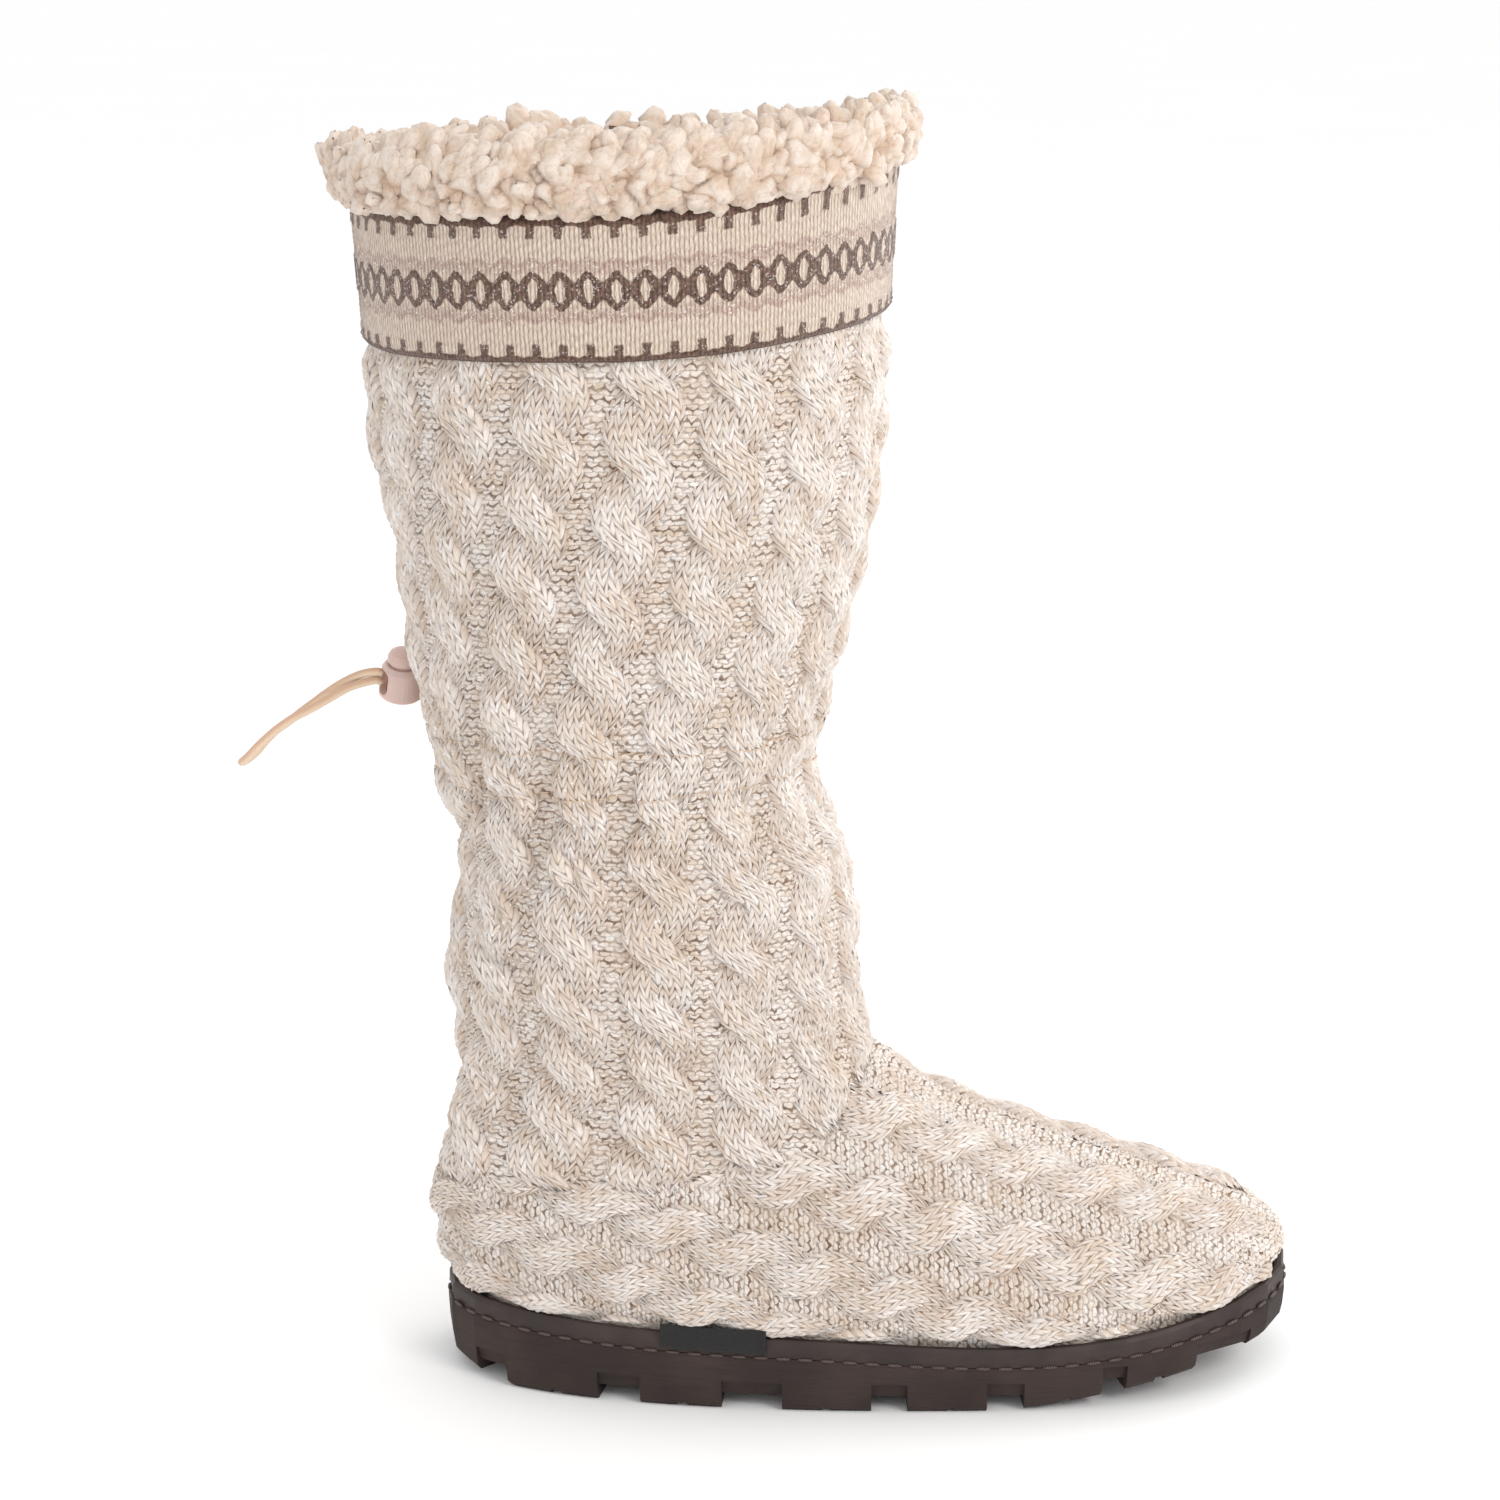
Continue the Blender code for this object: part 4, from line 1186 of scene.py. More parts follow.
def plastic_finish():
    """Moulded dusty pink plastic with a faint orange-peel skin."""
    tree = Tree("pink lock plastic")
    where = tree.place()
    peel = tree.noise(where, 700.0, 2.0, 0.5)
    cloud = tree.noise(where, 120.0, 2.0, 0.5)
    colour = tree.blend(cloud, linear(200, 168, 160), paint("plastic"))
    return tree.surface(colour, 0.32 + peel * 0.12, peel, 0.00006, 0.5,
                        Subsurface_Weight=0.08, Coat_Weight=0.15)


def satin_finish():
    """Flat-woven satin cord: fine slanting threads with a soft shine, one side painted lighter and the other
    darker as painted light and shade.
    """
    tree = Tree("satin cord")
    across, along = tree.stitches()
    twill = ((across + along * 0.8) * math.tau).wave()
    thread = ((across - along * 2.2) * math.tau).wave()
    # Painted light and shade: the colour runs once round the cord, darker on one side and the user's cord
    # colour on the other.
    band = (across * (math.tau / 12)).wave()
    colour = tree.blend(band.over(-0.6, 0.7), linear(220, 182, 152), paint("satin"))
    colour = tree.tint((0.5 - twill * 0.5) * 0.25, colour, linear(180, 140, 116))
    return tree.surface(colour, 0.36 + thread.size() * 0.12, twill * 0.6 + thread * 0.4, 0.00010, 0.6,
                        Sheen_Weight=0.3)


def tag_finish():
    """Black woven ribbon, blank."""
    tree = Tree("black woven tag")
    across, along = tree.stitches()
    warp = (across * math.tau).wave()
    weft = (along * math.tau).wave()
    over = (warp * weft).over(-0.4, 0.4)
    fuzz = tree.noise(tree.place(), 1800.0, 2.0, 0.6)
    colour = tree.blend(over * 0.7 + fuzz * 0.3, linear(10, 9, 10), linear(28, 25, 26))
    return tree.surface(colour, 0.7, over + fuzz * 0.5, 0.00022, 0.8, Sheen_Weight=0.05)


def thread_finish(name, shade, light):
    """Waxed thread, painted a little darker between its plies as painted shade."""
    tree = Tree(name)
    across, along = tree.stitches()
    ply = ((across + along) * math.tau).wave()
    colour = tree.blend(ply.over(-0.6, 0.6), shade, light)
    return tree.surface(colour, 0.5, ply, 0.0001, 0.7)


def band_parts(up, turn, sums):
    """Where the band's motifs lie: up runs from foot to head, turn counts motifs round the shaft."""
    swing = sums.wave(turn * math.tau)
    middle = sums.size(up - 0.495)
    square = middle * middle
    edge = sums.over(middle + swing * 0.007, 0.448, 0.460)
    legs = (1 - sums.over(sums.size(middle - 0.415), 0.034, 0.052)) * sums.over(swing, 0.36, 0.66)
    zone = 1 - sums.over(sums.size(middle - 0.170 - swing * 0.012), 0.030, 0.062)
    arcs = 1 - sums.over(sums.size(middle - 0.196 - swing * 0.020), 0.010, 0.026)
    oval = 1 - sums.over(square * 150 + (1 - swing) * 1.9, 0.80, 1.20)
    chain = 1 - sums.over(square * 50 + (1 - swing) * 0.385, 0.90, 1.04)
    return edge, legs, zone, arcs, oval, chain


def ribbon_finish():
    """Jacquard band: cream fields, taupe arcs, a dark chain round cream ovals and a dark edge with legs."""
    tree = Tree("woven cuff band")
    turn, up = tree.stitches()
    where = tree.place()
    drift = tree.noise(where, 420.0, 2.0, 0.6) - 0.5
    sway = tree.noise(where, 330.0, 2.0, 0.6) - 0.5
    moved = turn + sway * 0.2
    edge, legs, zone, arcs, oval, chain = band_parts(up + drift * 0.045, moved, Wire)
    loose = (turn + sway * 0.09) * BAND_RIBS
    rib = tree.node("ShaderNodeTexWhiteNoise", {"noise_dimensions": "1D"}, {"W": loose.whole()})
    wale = (loose.fraction() - 0.5).size() * 2.0
    bar = ((up * 13.0 + rib * 5.0 + wale * 0.4).fraction() - 0.5).size() * 2.0
    thread = tree.noise(tree.vector(turn * 22.0, up * 20.0), 1.0, 3.0, 0.65)
    fuzz = tree.noise(where, 900.0, 3.0, 0.6)
    light = tree.blend(thread.over(0.25, 0.75), linear(197, 179, 163), linear(234, 220, 205))
    taupe = tree.blend(thread.over(0.3, 0.7), linear(168, 142, 130), linear(206, 184, 172))
    dark = tree.blend(fuzz.over(0.3, 0.7), linear(72, 50, 40), paint("motif"))
    colour = tree.blend(zone * (0.6 + drift * 1.2), light, taupe)
    colour = tree.blend(arcs * 0.85, colour, taupe)
    colour = tree.blend(chain * (0.97 - fuzz.over(0.62, 0.75) * 0.4), colour, dark)
    colour = tree.blend(oval, colour, light)
    colour = tree.blend(legs * 0.92, colour, dark)
    colour = tree.blend(edge, colour, dark)
    # Painted shade: the colour darkens in the grooves between the ribs and between the bars.
    gap = wale.power(2.5) * 0.75 + bar.power(6.0) * 0.35
    colour = tree.tint(gap.least(1.0), colour, linear(186, 160, 144))
    # Painted glints: a few specks of the shiny yarn in the motifs are painted nearly white.
    shine = zone * 0.7 + chain * 0.5 + legs * 0.5
    glint = tree.specks(where, 2300.0, 0.93, 0.94) * shine
    colour = tree.blend(glint * 0.8, colour, linear(250, 244, 240))
    height = 1.0 - wale.power(2.0) * 0.8 - bar.power(4.0) * 0.3 + fuzz * 0.45 + thread * 0.3
    return tree.surface(colour, 0.85 - glint * 0.5, height, 0.00042, 0.9, Sheen_Weight=0.2)


def floor_finish():
    """Matte, nearly white."""
    tree = Tree("pale floor")
    where = tree.place()
    cloud = tree.noise(where, 3.0, 2.0, 0.5)
    colour = tree.blend(cloud, linear(253, 253, 253), linear(255, 255, 255))
    return tree.surface(colour, 0.9)


# ---------------------------------------------------------------- what a user would change

class BootKnit(bpy.types.PropertyGroup):
    relief: bpy.props.FloatProperty(
        name="Cable relief", description="How far the cables stand out", default=1.0, min=0.3, max=1.5,
        subtype="FACTOR")
    pitch: bpy.props.FloatProperty(
        name="Crossing pitch", description="Distance between two crossings of a cable on the shaft",
        default=SHAFT_PITCH * MM, min=0.012, max=0.04, unit="LENGTH", subtype="DISTANCE")


class BootFleece(bpy.types.PropertyGroup):
    locks: bpy.props.IntProperty(
        name="Locks", description="Locks of pile all round the collar", default=850, min=200, max=4000)
    clumps: bpy.props.IntProperty(
        name="Clumps", description="Small clumps that hang over the band", default=520, min=100, max=3000)
    length: bpy.props.FloatProperty(
        name="Lock length", description="Length of the longest locks", default=0.0125, min=0.004, max=0.02,
        unit="LENGTH", subtype="DISTANCE")


class BootBand(bpy.types.PropertyGroup):
    motifs: bpy.props.IntProperty(
        name="Motifs", description="Ovals round the cuff band", default=61, min=20, max=100)


def colour_property(name, description, red, green, blue):
    """A colour that the user may change, its default in display steps."""
    return bpy.props.FloatVectorProperty(
        name=name, description=description, default=linear(red, green, blue), min=0, max=1, size=3,
        subtype="COLOR")


class BootColours(bpy.types.PropertyGroup):
    cream: colour_property("Cream yarn", "The light tone of the knit", 240, 233, 228)
    beige: colour_property("Beige yarn", "The darker tone of the knit", 215, 194, 174)
    fleece: colour_property("Fleece", "Tips of the fleece", 228, 216, 205)
    rubber: colour_property("Rubber", "The outsole", 60, 48, 44)
    rand: colour_property("Rand", "The smooth strip round the foot", 60, 48, 44)
    plastic: colour_property("Lock", "The cord lock", 218, 190, 181)
    # The colour of the cord's painted lit side.
    satin: colour_property("Cord", "The drawcord's light side", 246, 224, 196)
    motif: colour_property("Band motif", "The band's dark yarn", 132, 102, 87)


def paint(name):
    """The user's colour of that name."""
    return tuple(getattr(bpy.context.scene.boot_colours, name))


# ---------------------------------------------------------------- pieces

def along_route(points, step):
    """A smooth line through points, and the same line cut into equal steps."""
    points = np.array(points, float)
    ends = np.vstack([2 * points[0] - points[1], points, 2 * points[-1] - points[-2]])
    shares = np.linspace(0, 1, 12, endpoint=False)
    line = [threaded(t, *ends[i - 1:i + 3]) for i in range(1, len(ends) - 2) for t in shares]
    line = np.array(line + [points[-1]])
    run = run_along(line)
    return on_line(line, run, np.linspace(0, run[-1], int(run[-1] / step) + 1)), run[-1]


def tube(work, line, radius, sides, across=1.0, along=1.0):
    """A tube along a line; across and along say how often its threads repeat."""
    tangent = unit(np.gradient(line, axis=0))
    side = np.cross(tangent[0], (0.0, 0.0, 1.0))
    frames = []
    for direction in tangent:
        side = side - direction * np.dot(side, direction)
        side /= np.linalg.norm(side)
        frames.append((side, np.cross(direction, side)))
    frames = np.array(frames)
    angle = np.arange(sides + 1) * math.tau / sides
    radius = np.broadcast_to(radius, len(line))[:, None, None]
    points = line[:, None] + radius * (np.cos(angle)[None, :, None] * frames[:, None, 0]
                                       + np.sin(angle)[None, :, None] * frames[:, None, 1])
    work.add(points, (angle / math.tau * across)[None, :], run_along(line)[:, None] * along, 0.0)


LOCK_GIRTH = (0.70, 0.95, 1.06, 1.05, 0.92, 0.66, 0.10)
CLUMP_GIRTH = (0.75, 1.0, 1.12, 1.14, 1.02, 0.72, 0.10)


def tufts(work, root, out, lean, side, length, width, girth, rng):
    """Many curled locks of pile, each a tapered lump that rises from its root and leans over."""
    share = np.array([0.0, 0.14, 0.32, 0.54, 0.76, 0.92, 1.0])
    sides = 8
    count = len(root)
    rise = rng.uniform(0.05, 0.26, count)
    curl = rng.uniform(-0.45, 0.45, count)
    phase = rng.uniform(0, math.tau, count)
    t = share[None, :, None]
    reach = length[:, None, None]
    line = (root[:, None] + out[:, None] * reach * (rise[:, None, None] * np.sin(t * math.pi * 0.62))
            + lean[:, None] * reach * t**1.15
            + side[:, None] * reach * curl[:, None, None] * np.sin(t * 2.6) * t)
    tangent = unit(np.gradient(line, axis=1))
    flat = unit(np.cross(tangent, out[:, None]))
    thick = np.cross(flat, tangent)
    angle = (np.arange(sides) * math.tau / sides)[None, None, :]
    lump = 1 + 0.22 * np.sin(3 * angle + phase[:, None, None] + 5 * share[None, :, None])
    lump = lump + rng.normal(0, 0.07, (count, len(share), sides))
    size = width[:, None, None] * np.array(girth)[None, :, None] * lump
    points = (line[:, :, None] + (size * np.cos(angle))[..., None] * flat[:, :, None]
              + (0.72 * size * np.sin(angle))[..., None] * thick[:, :, None])
    shade = np.clip(0.95 * (1 - share) ** 1.3, 0, 1)
    for one in range(count):
        work.add(points[one], np.arange(sides)[None, :] / sides + phase[one], share[:, None] + phase[one] * 3,
                 shade[:, None], closed=True, facing=points[one] - line[one][:, None])


def curly_skin(rings, normals, rng, gap, height):
    """The roll's skin as soft clumps pressed together: its points, streak directions and creases."""
    count = int(len(rings) * rings.shape[1] / gap**2)
    at = (rng.uniform(0, len(rings) - 1, count), rng.uniform(0, rings.shape[1], count))
    seeds = lookup(rings, *at)
    away = rng.normal(0, 1, (count, 3))
    tall = rng.uniform(0.6, 1.15, count)
    tree = mathutils.kdtree.KDTree(count)
    for number, seed in enumerate(seeds):
        tree.insert(seed, number)
    tree.balance()
    flat = rings.reshape(-1, 3)
    wave = np.sin(flat[:, [1, 2, 0]] * 0.55 + 1.0) + 0.6 * np.sin(flat[:, [2, 0, 1]] * 1.13 + 2.0)
    nearest = [tree.find_n(point, 2) for point in flat + 1.1 * wave]
    number = np.array([pair[0][1] for pair in nearest])
    first = np.array([pair[0][2] for pair in nearest])
    crease = np.array([pair[1][2] for pair in nearest]) - first
    swell = tall[number] * np.clip(crease / 4.5, 0, 1) ** 0.55
    offset = flat - seeds[number]
    axis = unit(away[number])
    along = (offset * axis).sum(axis=1)
    across = np.linalg.norm(offset - along[:, None] * axis, axis=1)
    swell, crease, number, across, along = (
        part.reshape(rings.shape[:2]) for part in (swell, crease, number, across, along))
    points = rings + (height * swell)[..., None] * normals
    return points, across / 4 + number * 0.37, along / 5, 1 - np.clip(crease / 2.6, 0, 1)


class BOOT_OT_cord(bpy.types.Operator):
    """Satin drawcord: one loop out of the lock and back"""
    bl_idname = "boot.cord"
    bl_label = "Drawcord"

    def execute(self, context):
        line, length = along_route(CORD_ROUTE, 0.8)
        work = Patchwork()
        tube(work, line, CORD_DIAMETER / 2, 20, across=12, along=1.6)
        piece = work.build("drawcord_satin", satin_finish(), "boot")
        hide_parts("drawcord")
        return {"FINISHED"}


class BOOT_OT_stage(bpy.types.Operator):
    """Pale floor, soft lights and the camera"""
    bl_idname = "boot.stage"
    bl_label = "Stage"

    def execute(self, context):
        scene = context.scene
        lens = bpy.data.cameras.new("camera")
        lens.lens = CAMERA_LENS
        lens.sensor_width = 36.0
        lens.clip_start = 0.05
        lens.clip_end = 60.0
        camera = bpy.data.objects.new("camera", lens)
        camera.location = CAMERA_PLACE
        camera.rotation_euler = (math.radians(CAMERA_TILT), 0, 0)
        scene.collection.objects.link(camera)
        scene.camera = camera
        corners = [(x * FLOOR_HALF, y * FLOOR_HALF, 0) for x, y in ((-1, -1), (1, -1), (1, 1), (-1, 1))]
        mesh = bpy.data.meshes.new("floor")
        mesh.from_pydata(corners, [], [(0, 1, 2, 3)])
        floor = bpy.data.objects.new("floor", mesh)
        mesh.materials.append(floor_finish())
        scene.collection.objects.link(floor)
        world = bpy.data.worlds.new("studio")
        world.use_nodes = True
        sky = world.node_tree.nodes["Background"]
        sky.inputs["Color"].default_value = (1, 1, 1, 1)
        sky.inputs["Strength"].default_value = SKY
        scene.world = world
        scene.view_settings.view_transform = "Standard"
        for name, place, aim, size, power, colour in LIGHTS:
            lamp = bpy.data.lights.new(name, "AREA")
            lamp.shape = "DISK"
            lamp.size = size
            lamp.energy = power
            lamp.color = colour
            light = bpy.data.objects.new(name, lamp)
            light.location = place
            direction = mathutils.Vector(aim) - mathutils.Vector(place)
            light.rotation_euler = direction.to_track_quat("-Z", "Y").to_euler()
            scene.collection.objects.link(light)
        return {"FINISHED"}


class BOOT_OT_sole(bpy.types.Operator):
    """Rubber outsole, rand and lock, which keep their moulded shapes"""
    bl_idname = "boot.sole"
    bl_label = "Sole and lock finishes"

    def execute(self, context):
        finishes = (
            ("outsole", rubber_finish()),
            ("rand", leather_finish()),
            ("lock_barrel", plastic_finish()),
            ("lock_button", plastic_finish()),
        )
        for node, finish in finishes:
            for slot in bpy.data.objects[node].material_slots:
                slot.material = finish
        return {"FINISHED"}


class BOOT_OT_welt(bpy.types.Operator):
    """Thread dashes in the groove over the outsole"""
    bl_idname = "boot.welt"
    bl_label = "Welt stitches"

    def execute(self, context):
        ring = outline_ring(*STITCH_GROOVE, DENSE)
        run = run_along(ring)
        work = Patchwork()
        girth = STITCH_RADIUS * np.sqrt(np.clip(1 - np.linspace(-1, 1, 9) ** 4, 0.02, 1))
        stitches = int(run[-1] / STITCH_PITCH)
        for stitch in range(stitches):
            where = np.linspace(0, 1, len(girth)) * STITCH_LENGTH + stitch * run[-1] / stitches
            tube(work, on_line(ring, run, where), girth, 8, across=2, along=1.2)
        work.build("welt_thread", thread_finish("brown thread", linear(52, 38, 34), linear(98, 80, 74)),
                   "boot")
        return {"FINISHED"}


def sew_toe(work, rng):
    """Plain knit round the front of the toe and low under the vamp, where the lanes run out."""
    places = np.linspace(0, VAMP_PLACE, 149)[:, None]
    turns = np.linspace(-TOE_TURNS, TOE_TURNS, 79)[None, :]
    points, normals = FACE.at(places, turns)
    row = run_along(points[:, turns.size // 2])[:, None] / ROW
    wale = turns * TOE_WALES
    top = bumps_at(wale, row, Plain)
    edge = np.abs(turns / TOE_TURNS) ** 6 + VAMP_SINK * np.clip((places - TOE_PLACE) / 0.8, 0, 1)
    lift = GROUND + 0.15 + top - edge + rng.normal(0, TOE_FUZZ, top.shape)
    lift = SKIRT_FOOT + (lift - SKIRT_FOOT) * flat_at_rand(points)
    work.add(points + lift[..., None] * normals, wale, row, np.clip(0.8 - 0.8 * top, 0, 1),
             sewn(points), facing=normals)


class BOOT_OT_shaft(bpy.types.Operator):
    """Cables and plain channels of the shaft"""
    bl_idname = "boot.shaft"
    bl_label = "Shaft knit"

    def execute(self, context):
        knit = context.scene.boot_knit
        rng = np.random.default_rng(SEED + 1)
        cable = knit_finish()
        plain = ground_finish()
        for pair in range(0, COLUMNS, 2):
            work = Patchwork()
            ground = Patchwork()
            for column in (pair, pair + 1):
                lane = ShaftLane(column + 0.5)
                first = lane.under_band + FIRST_CROSSING[column]
                sew_cable(work, lane, first, knit.pitch / MM, 1, knit.relief, rng, column * CABLE_COUNT)
                sew_ground(ground, ShaftLane(float(column)), *SHAFT_CHANNEL, rng, column * CHANNEL_COUNT)
            work.build(f"shaft_cables_{pair // 2 + 1}", cable, "boot")
            ground.build(f"shaft_channels_{pair // 2 + 1}", plain, "boot")
        return {"FINISHED"}


class BOOT_OT_foot(bpy.types.Operator):
    """Cables and plain channels of the foot, each side from the heel to the vamp seam"""
    bl_idname = "boot.foot"
    bl_label = "Foot knit"

    def execute(self, context):
        relief = context.scene.boot_knit.relief
        rng = np.random.default_rng(SEED + 2)
        cable = knit_finish()
        plain = ground_finish()
        for side, word in ((-1, "outer"), (1, "inner")):
            sections = FootSections(side)
            work = Patchwork()
            for number, (level, crossing, spacing) in enumerate(FOOT_CABLES):
                lane = FootLane(sections, level, spacing)
                sew_cable(work, lane, crossing, FOOT_PITCH, -1, relief, rng, number * CABLE_COUNT)
            work.build(f"foot_cables_{word}", cable, "boot")
            ground = Patchwork()
            for number, (level, half_width, bumps) in enumerate(FOOT_CHANNELS):
                lane = FootLane(sections, level, 1.0)
                sew_ground(ground, lane, half_width, bumps, rng, number * FOOT_CHANNEL_COUNT)
            ground.build(f"foot_channels_{word}", plain, "boot")
        work = Patchwork()
        sew_toe(work, rng)
        work.build("toe_knit", plain, "boot")
        return {"FINISHED"}


def sew_seam(work, span, turn, turn_width):
    """A raised seam up the middle of the foot's front or back, with a bead for each stitch."""
    places = np.linspace(*span, 420)
    run = run_along(FACE.at(places, turn)[0])[:, None]
    share = np.linspace(-1, 1, 27)[None, :]
    points, normals = FACE.at(places[:, None], turn + share * SEAM_HALF_WIDTH / turn_width)
    bead = np.cos(math.tau * run / SEAM_PITCH)
    ridge = np.clip(share * SEAM_RIDGE, -1, 1)
    bank = 1.35 + 0.75 * share ** 4
    rise = 1.2 * rounded(ridge, 2.0) - bank + 0.30 * bead * (1 - ridge ** 2)
    hole = np.exp(-((np.abs(share) - SEAM_HOLE[0]) / SEAM_HOLE[1]) ** 2) * np.clip(-bead, 0, 1) ** 2
    work.add(points + (rise - 0.3 * hole)[..., None] * normals, share * 2, run / ROW,
             np.clip(0.15 + hole, 0, 1), sewn(points), facing=normals)


class BOOT_OT_casing(bpy.types.Operator):
    """Fine thread of the drawcord's casing, two rows that lie on the cables"""
    bl_idname = "boot.casing"
    bl_label = "Casing stitches"

    def execute(self, context):
        state = context.evaluated_depsgraph_get()
        knit = [piece for piece in bpy.data.objects if piece.name.startswith("shaft_")]
        trees = [mathutils.bvhtree.BVHTree.FromObject(piece, state) for piece in knit]
        work = Patchwork()
        turns = np.linspace(0, RING_POINTS, 961)
        for place in CASING_LINES:
            run = run_along(FACE.at(place, turns)[0])
            stitches = int(run[-1] / CASING_PITCH)
            for stitch in range(stitches):
                where = np.linspace(0, CASING_STITCH, 6) + stitch * run[-1] / stitches
                turn = np.interp(where, run, turns)
                points, ways = FACE.at(place, turn)
                lift = [self.top(trees, point, way) for point, way in zip(points, ways)]
                line = points + (np.array(lift) + CASING_THREAD * 0.4)[:, None] * ways
                girth = CASING_THREAD * np.array([0.5, 0.9, 1, 1, 0.9, 0.5])
                tube(work, line, girth, 6, across=2, along=1.2)
        work.build("casing_thread", thread_finish("tan thread", linear(216, 184, 152), linear(238, 214, 188)),
                   "boot")
        return {"FINISHED"}

    def top(self, trees, point, way):
        """How far the knit stands above the upper's face at a point."""
        start = mathutils.Vector(metres(point + CASING_SEARCH * way))
        hits = [tree.ray_cast(start, mathutils.Vector(-way), 3 * CASING_SEARCH * MM) for tree in trees]
        reach = [hit[3] for hit in hits if hit[0] is not None]
        return CASING_SEARCH - min(reach) / MM if reach else 0.0


class BOOT_OT_upper(bpy.types.Operator):
    """The sheet under the cables, the seams over the vamp and up the heel, and the pile lining inside"""
    bl_idname = "boot.upper"
    bl_label = "Backing, seams and lining"

    def execute(self, context):
        rows = np.arange(0, int(place_of_height(BAND_FOOT + 6) * FACE.rows_a_ring), 5)
        columns = np.arange(0, FACE.around, 3)
        way = FACE.normals[rows][:, columns]
        work = Patchwork()
        work.add(FACE.points[rows][:, columns] - BACKING_SINK * way, (columns * 0.31)[None, :],
                 (rows * 0.33)[:, None], 0.75, closed=True, facing=way)
        backing = work.build("knit_backing", ground_finish(), "boot")
        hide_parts("upper")
        for name, span, turn, turn_width in SEAMS:
            work = Patchwork()
            sew_seam(work, span, turn, turn_width)
            work.build(name, ground_finish(), "boot")
        rows = np.arange(int(LINING_FOOT * FACE.rows_a_ring), len(FACE.points), 4)[::-1]
        columns = np.arange(0, FACE.around, 4)
        way = outward(FACE.plain)
        sunk = np.minimum(np.sum((FACE.points - FACE.plain) * way, axis=2), 0)
        inner = (FACE.plain + (sunk - WALL - LINING_PILE)[..., None] * way)[rows][:, columns]
        work = Patchwork()
        work.add(inner, (columns * 0.3)[None, :], (rows * 0.3)[:, None], 0.2, closed=True,
                 facing=-way[rows][:, columns])
        work.build("pile_lining", lining_finish(), "boot")
        return {"FINISHED"}


def band_rise(turn):
    """How much higher than its mean the band sits at a turn."""
    return step_along(BAND_TILT, turn % RING_POINTS)


class BOOT_OT_band(bpy.types.Operator):
    """Jacquard cuff band"""
    bl_idname = "boot.band"
    bl_label = "Cuff band"

    def execute(self, context):
        motifs = context.scene.boot_band.motifs
        columns = motifs * BAND_RIBS * 2
        up = np.concatenate([[-0.012, -0.004], np.linspace(0, 1, 49), [1.004, 1.012]])
        turn = np.arange(columns + 1) / (BAND_RIBS * 2)
        low = BAND_FOOT + BAND_REACH[0] + band_rise(turn * RING_POINTS / motifs)[None, :]
        tall = BAND_HEAD - BAND_FOOT - BAND_REACH[0] + BAND_REACH[1]
        places = place_of_height(low + up[:, None] * tall)
        points, normals = FACE.at(places, turn[None, :] * RING_POINTS / motifs)
        edge, legs, zone, _, oval, chain = band_parts(up[:, None], turn[None, :], Plain)
        rib = np.where(np.arange(columns + 1) % 2 == 0, 0.13, -0.13)[None, :]
        bar = np.where(np.arange(len(up)) % 2 == 0, 0.05, -0.05)[:, None]
        bulge = rounded(np.clip(up * 2 - 1, -1, 1), 8.0)[:, None]
        lift = (0.45 + 1.35 * bulge + rib + bar + 0.3 * chain - 0.15 * oval + 0.3 * legs + 0.5 * edge
                - 0.08 * zone)
        lift[:2] = 0.1
        lift[-2:] = 0.1
        work = Patchwork()
        work.add(points + lift[..., None] * normals, turn[None, :], up[:, None], 0.0, facing=normals)
        piece = work.build("cuff_band_woven", ribbon_finish(), "boot")
        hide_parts("cuff_band")
        return {"FINISHED"}


def collar_ring(height):
    """The upper's own ring at a height, with the collar's number of points."""
    return spread_round(upper_rings([place_of_height(height)]), COLLAR_POINTS)[0]


def collar_rings():
    """The fleece roll's own rings from its outer foot over the head and down inside."""
    edge = spread_round(CONTROLS[-1:], COLLAR_POINTS)[0]
    foot = collar_ring(BAND_HEAD)[:, 2] + COLLAR_FOOT
    turn = np.arange(COLLAR_POINTS) * RING_POINTS / COLLAR_POINTS
    head = edge[:, 2] + COLLAR_HEAD + step_along(COLLAR_LIFT, turn)
    normal = outward(spread_round(upper_rings([LAST_PLACE - 0.5, LAST_PLACE]), COLLAR_POINTS))[-1]
    normal[:, 2] = 0
    normal = unit(normal)
    forward = (normal[:, 0] + 1) / 2
    swell = COLLAR_BACK_SWELL + (COLLAR_FRONT_SWELL - COLLAR_BACK_SWELL) * forward
    lifted = band_rise(turn)
    rings = []
    for out, share in COLLAR_ROLL:
        reach = np.where(out > GAP, GAP + (out - GAP) * swell, out)
        ring = edge + normal * reach[:, None]
        ring[:, 2] = foot + share * (head - foot) + (1 - share) * lifted
        rings.append(ring)
    for out, height in COLLAR_SKIRT:
        rings.append(collar_ring(height) + out * normal)
    rings = np.array(rings)
    steps = np.linspace(0, len(rings) - 1, (len(rings) - 1) * 5 + 1)
    i = np.minimum(steps.astype(int), len(rings) - 2)
    t = (steps - i)[:, None, None]
    before = rings[np.maximum(i - 1, 0)]
    after = rings[np.minimum(i + 2, len(rings) - 1)]
    return threaded(t, before, rings[i], rings[i + 1], after)


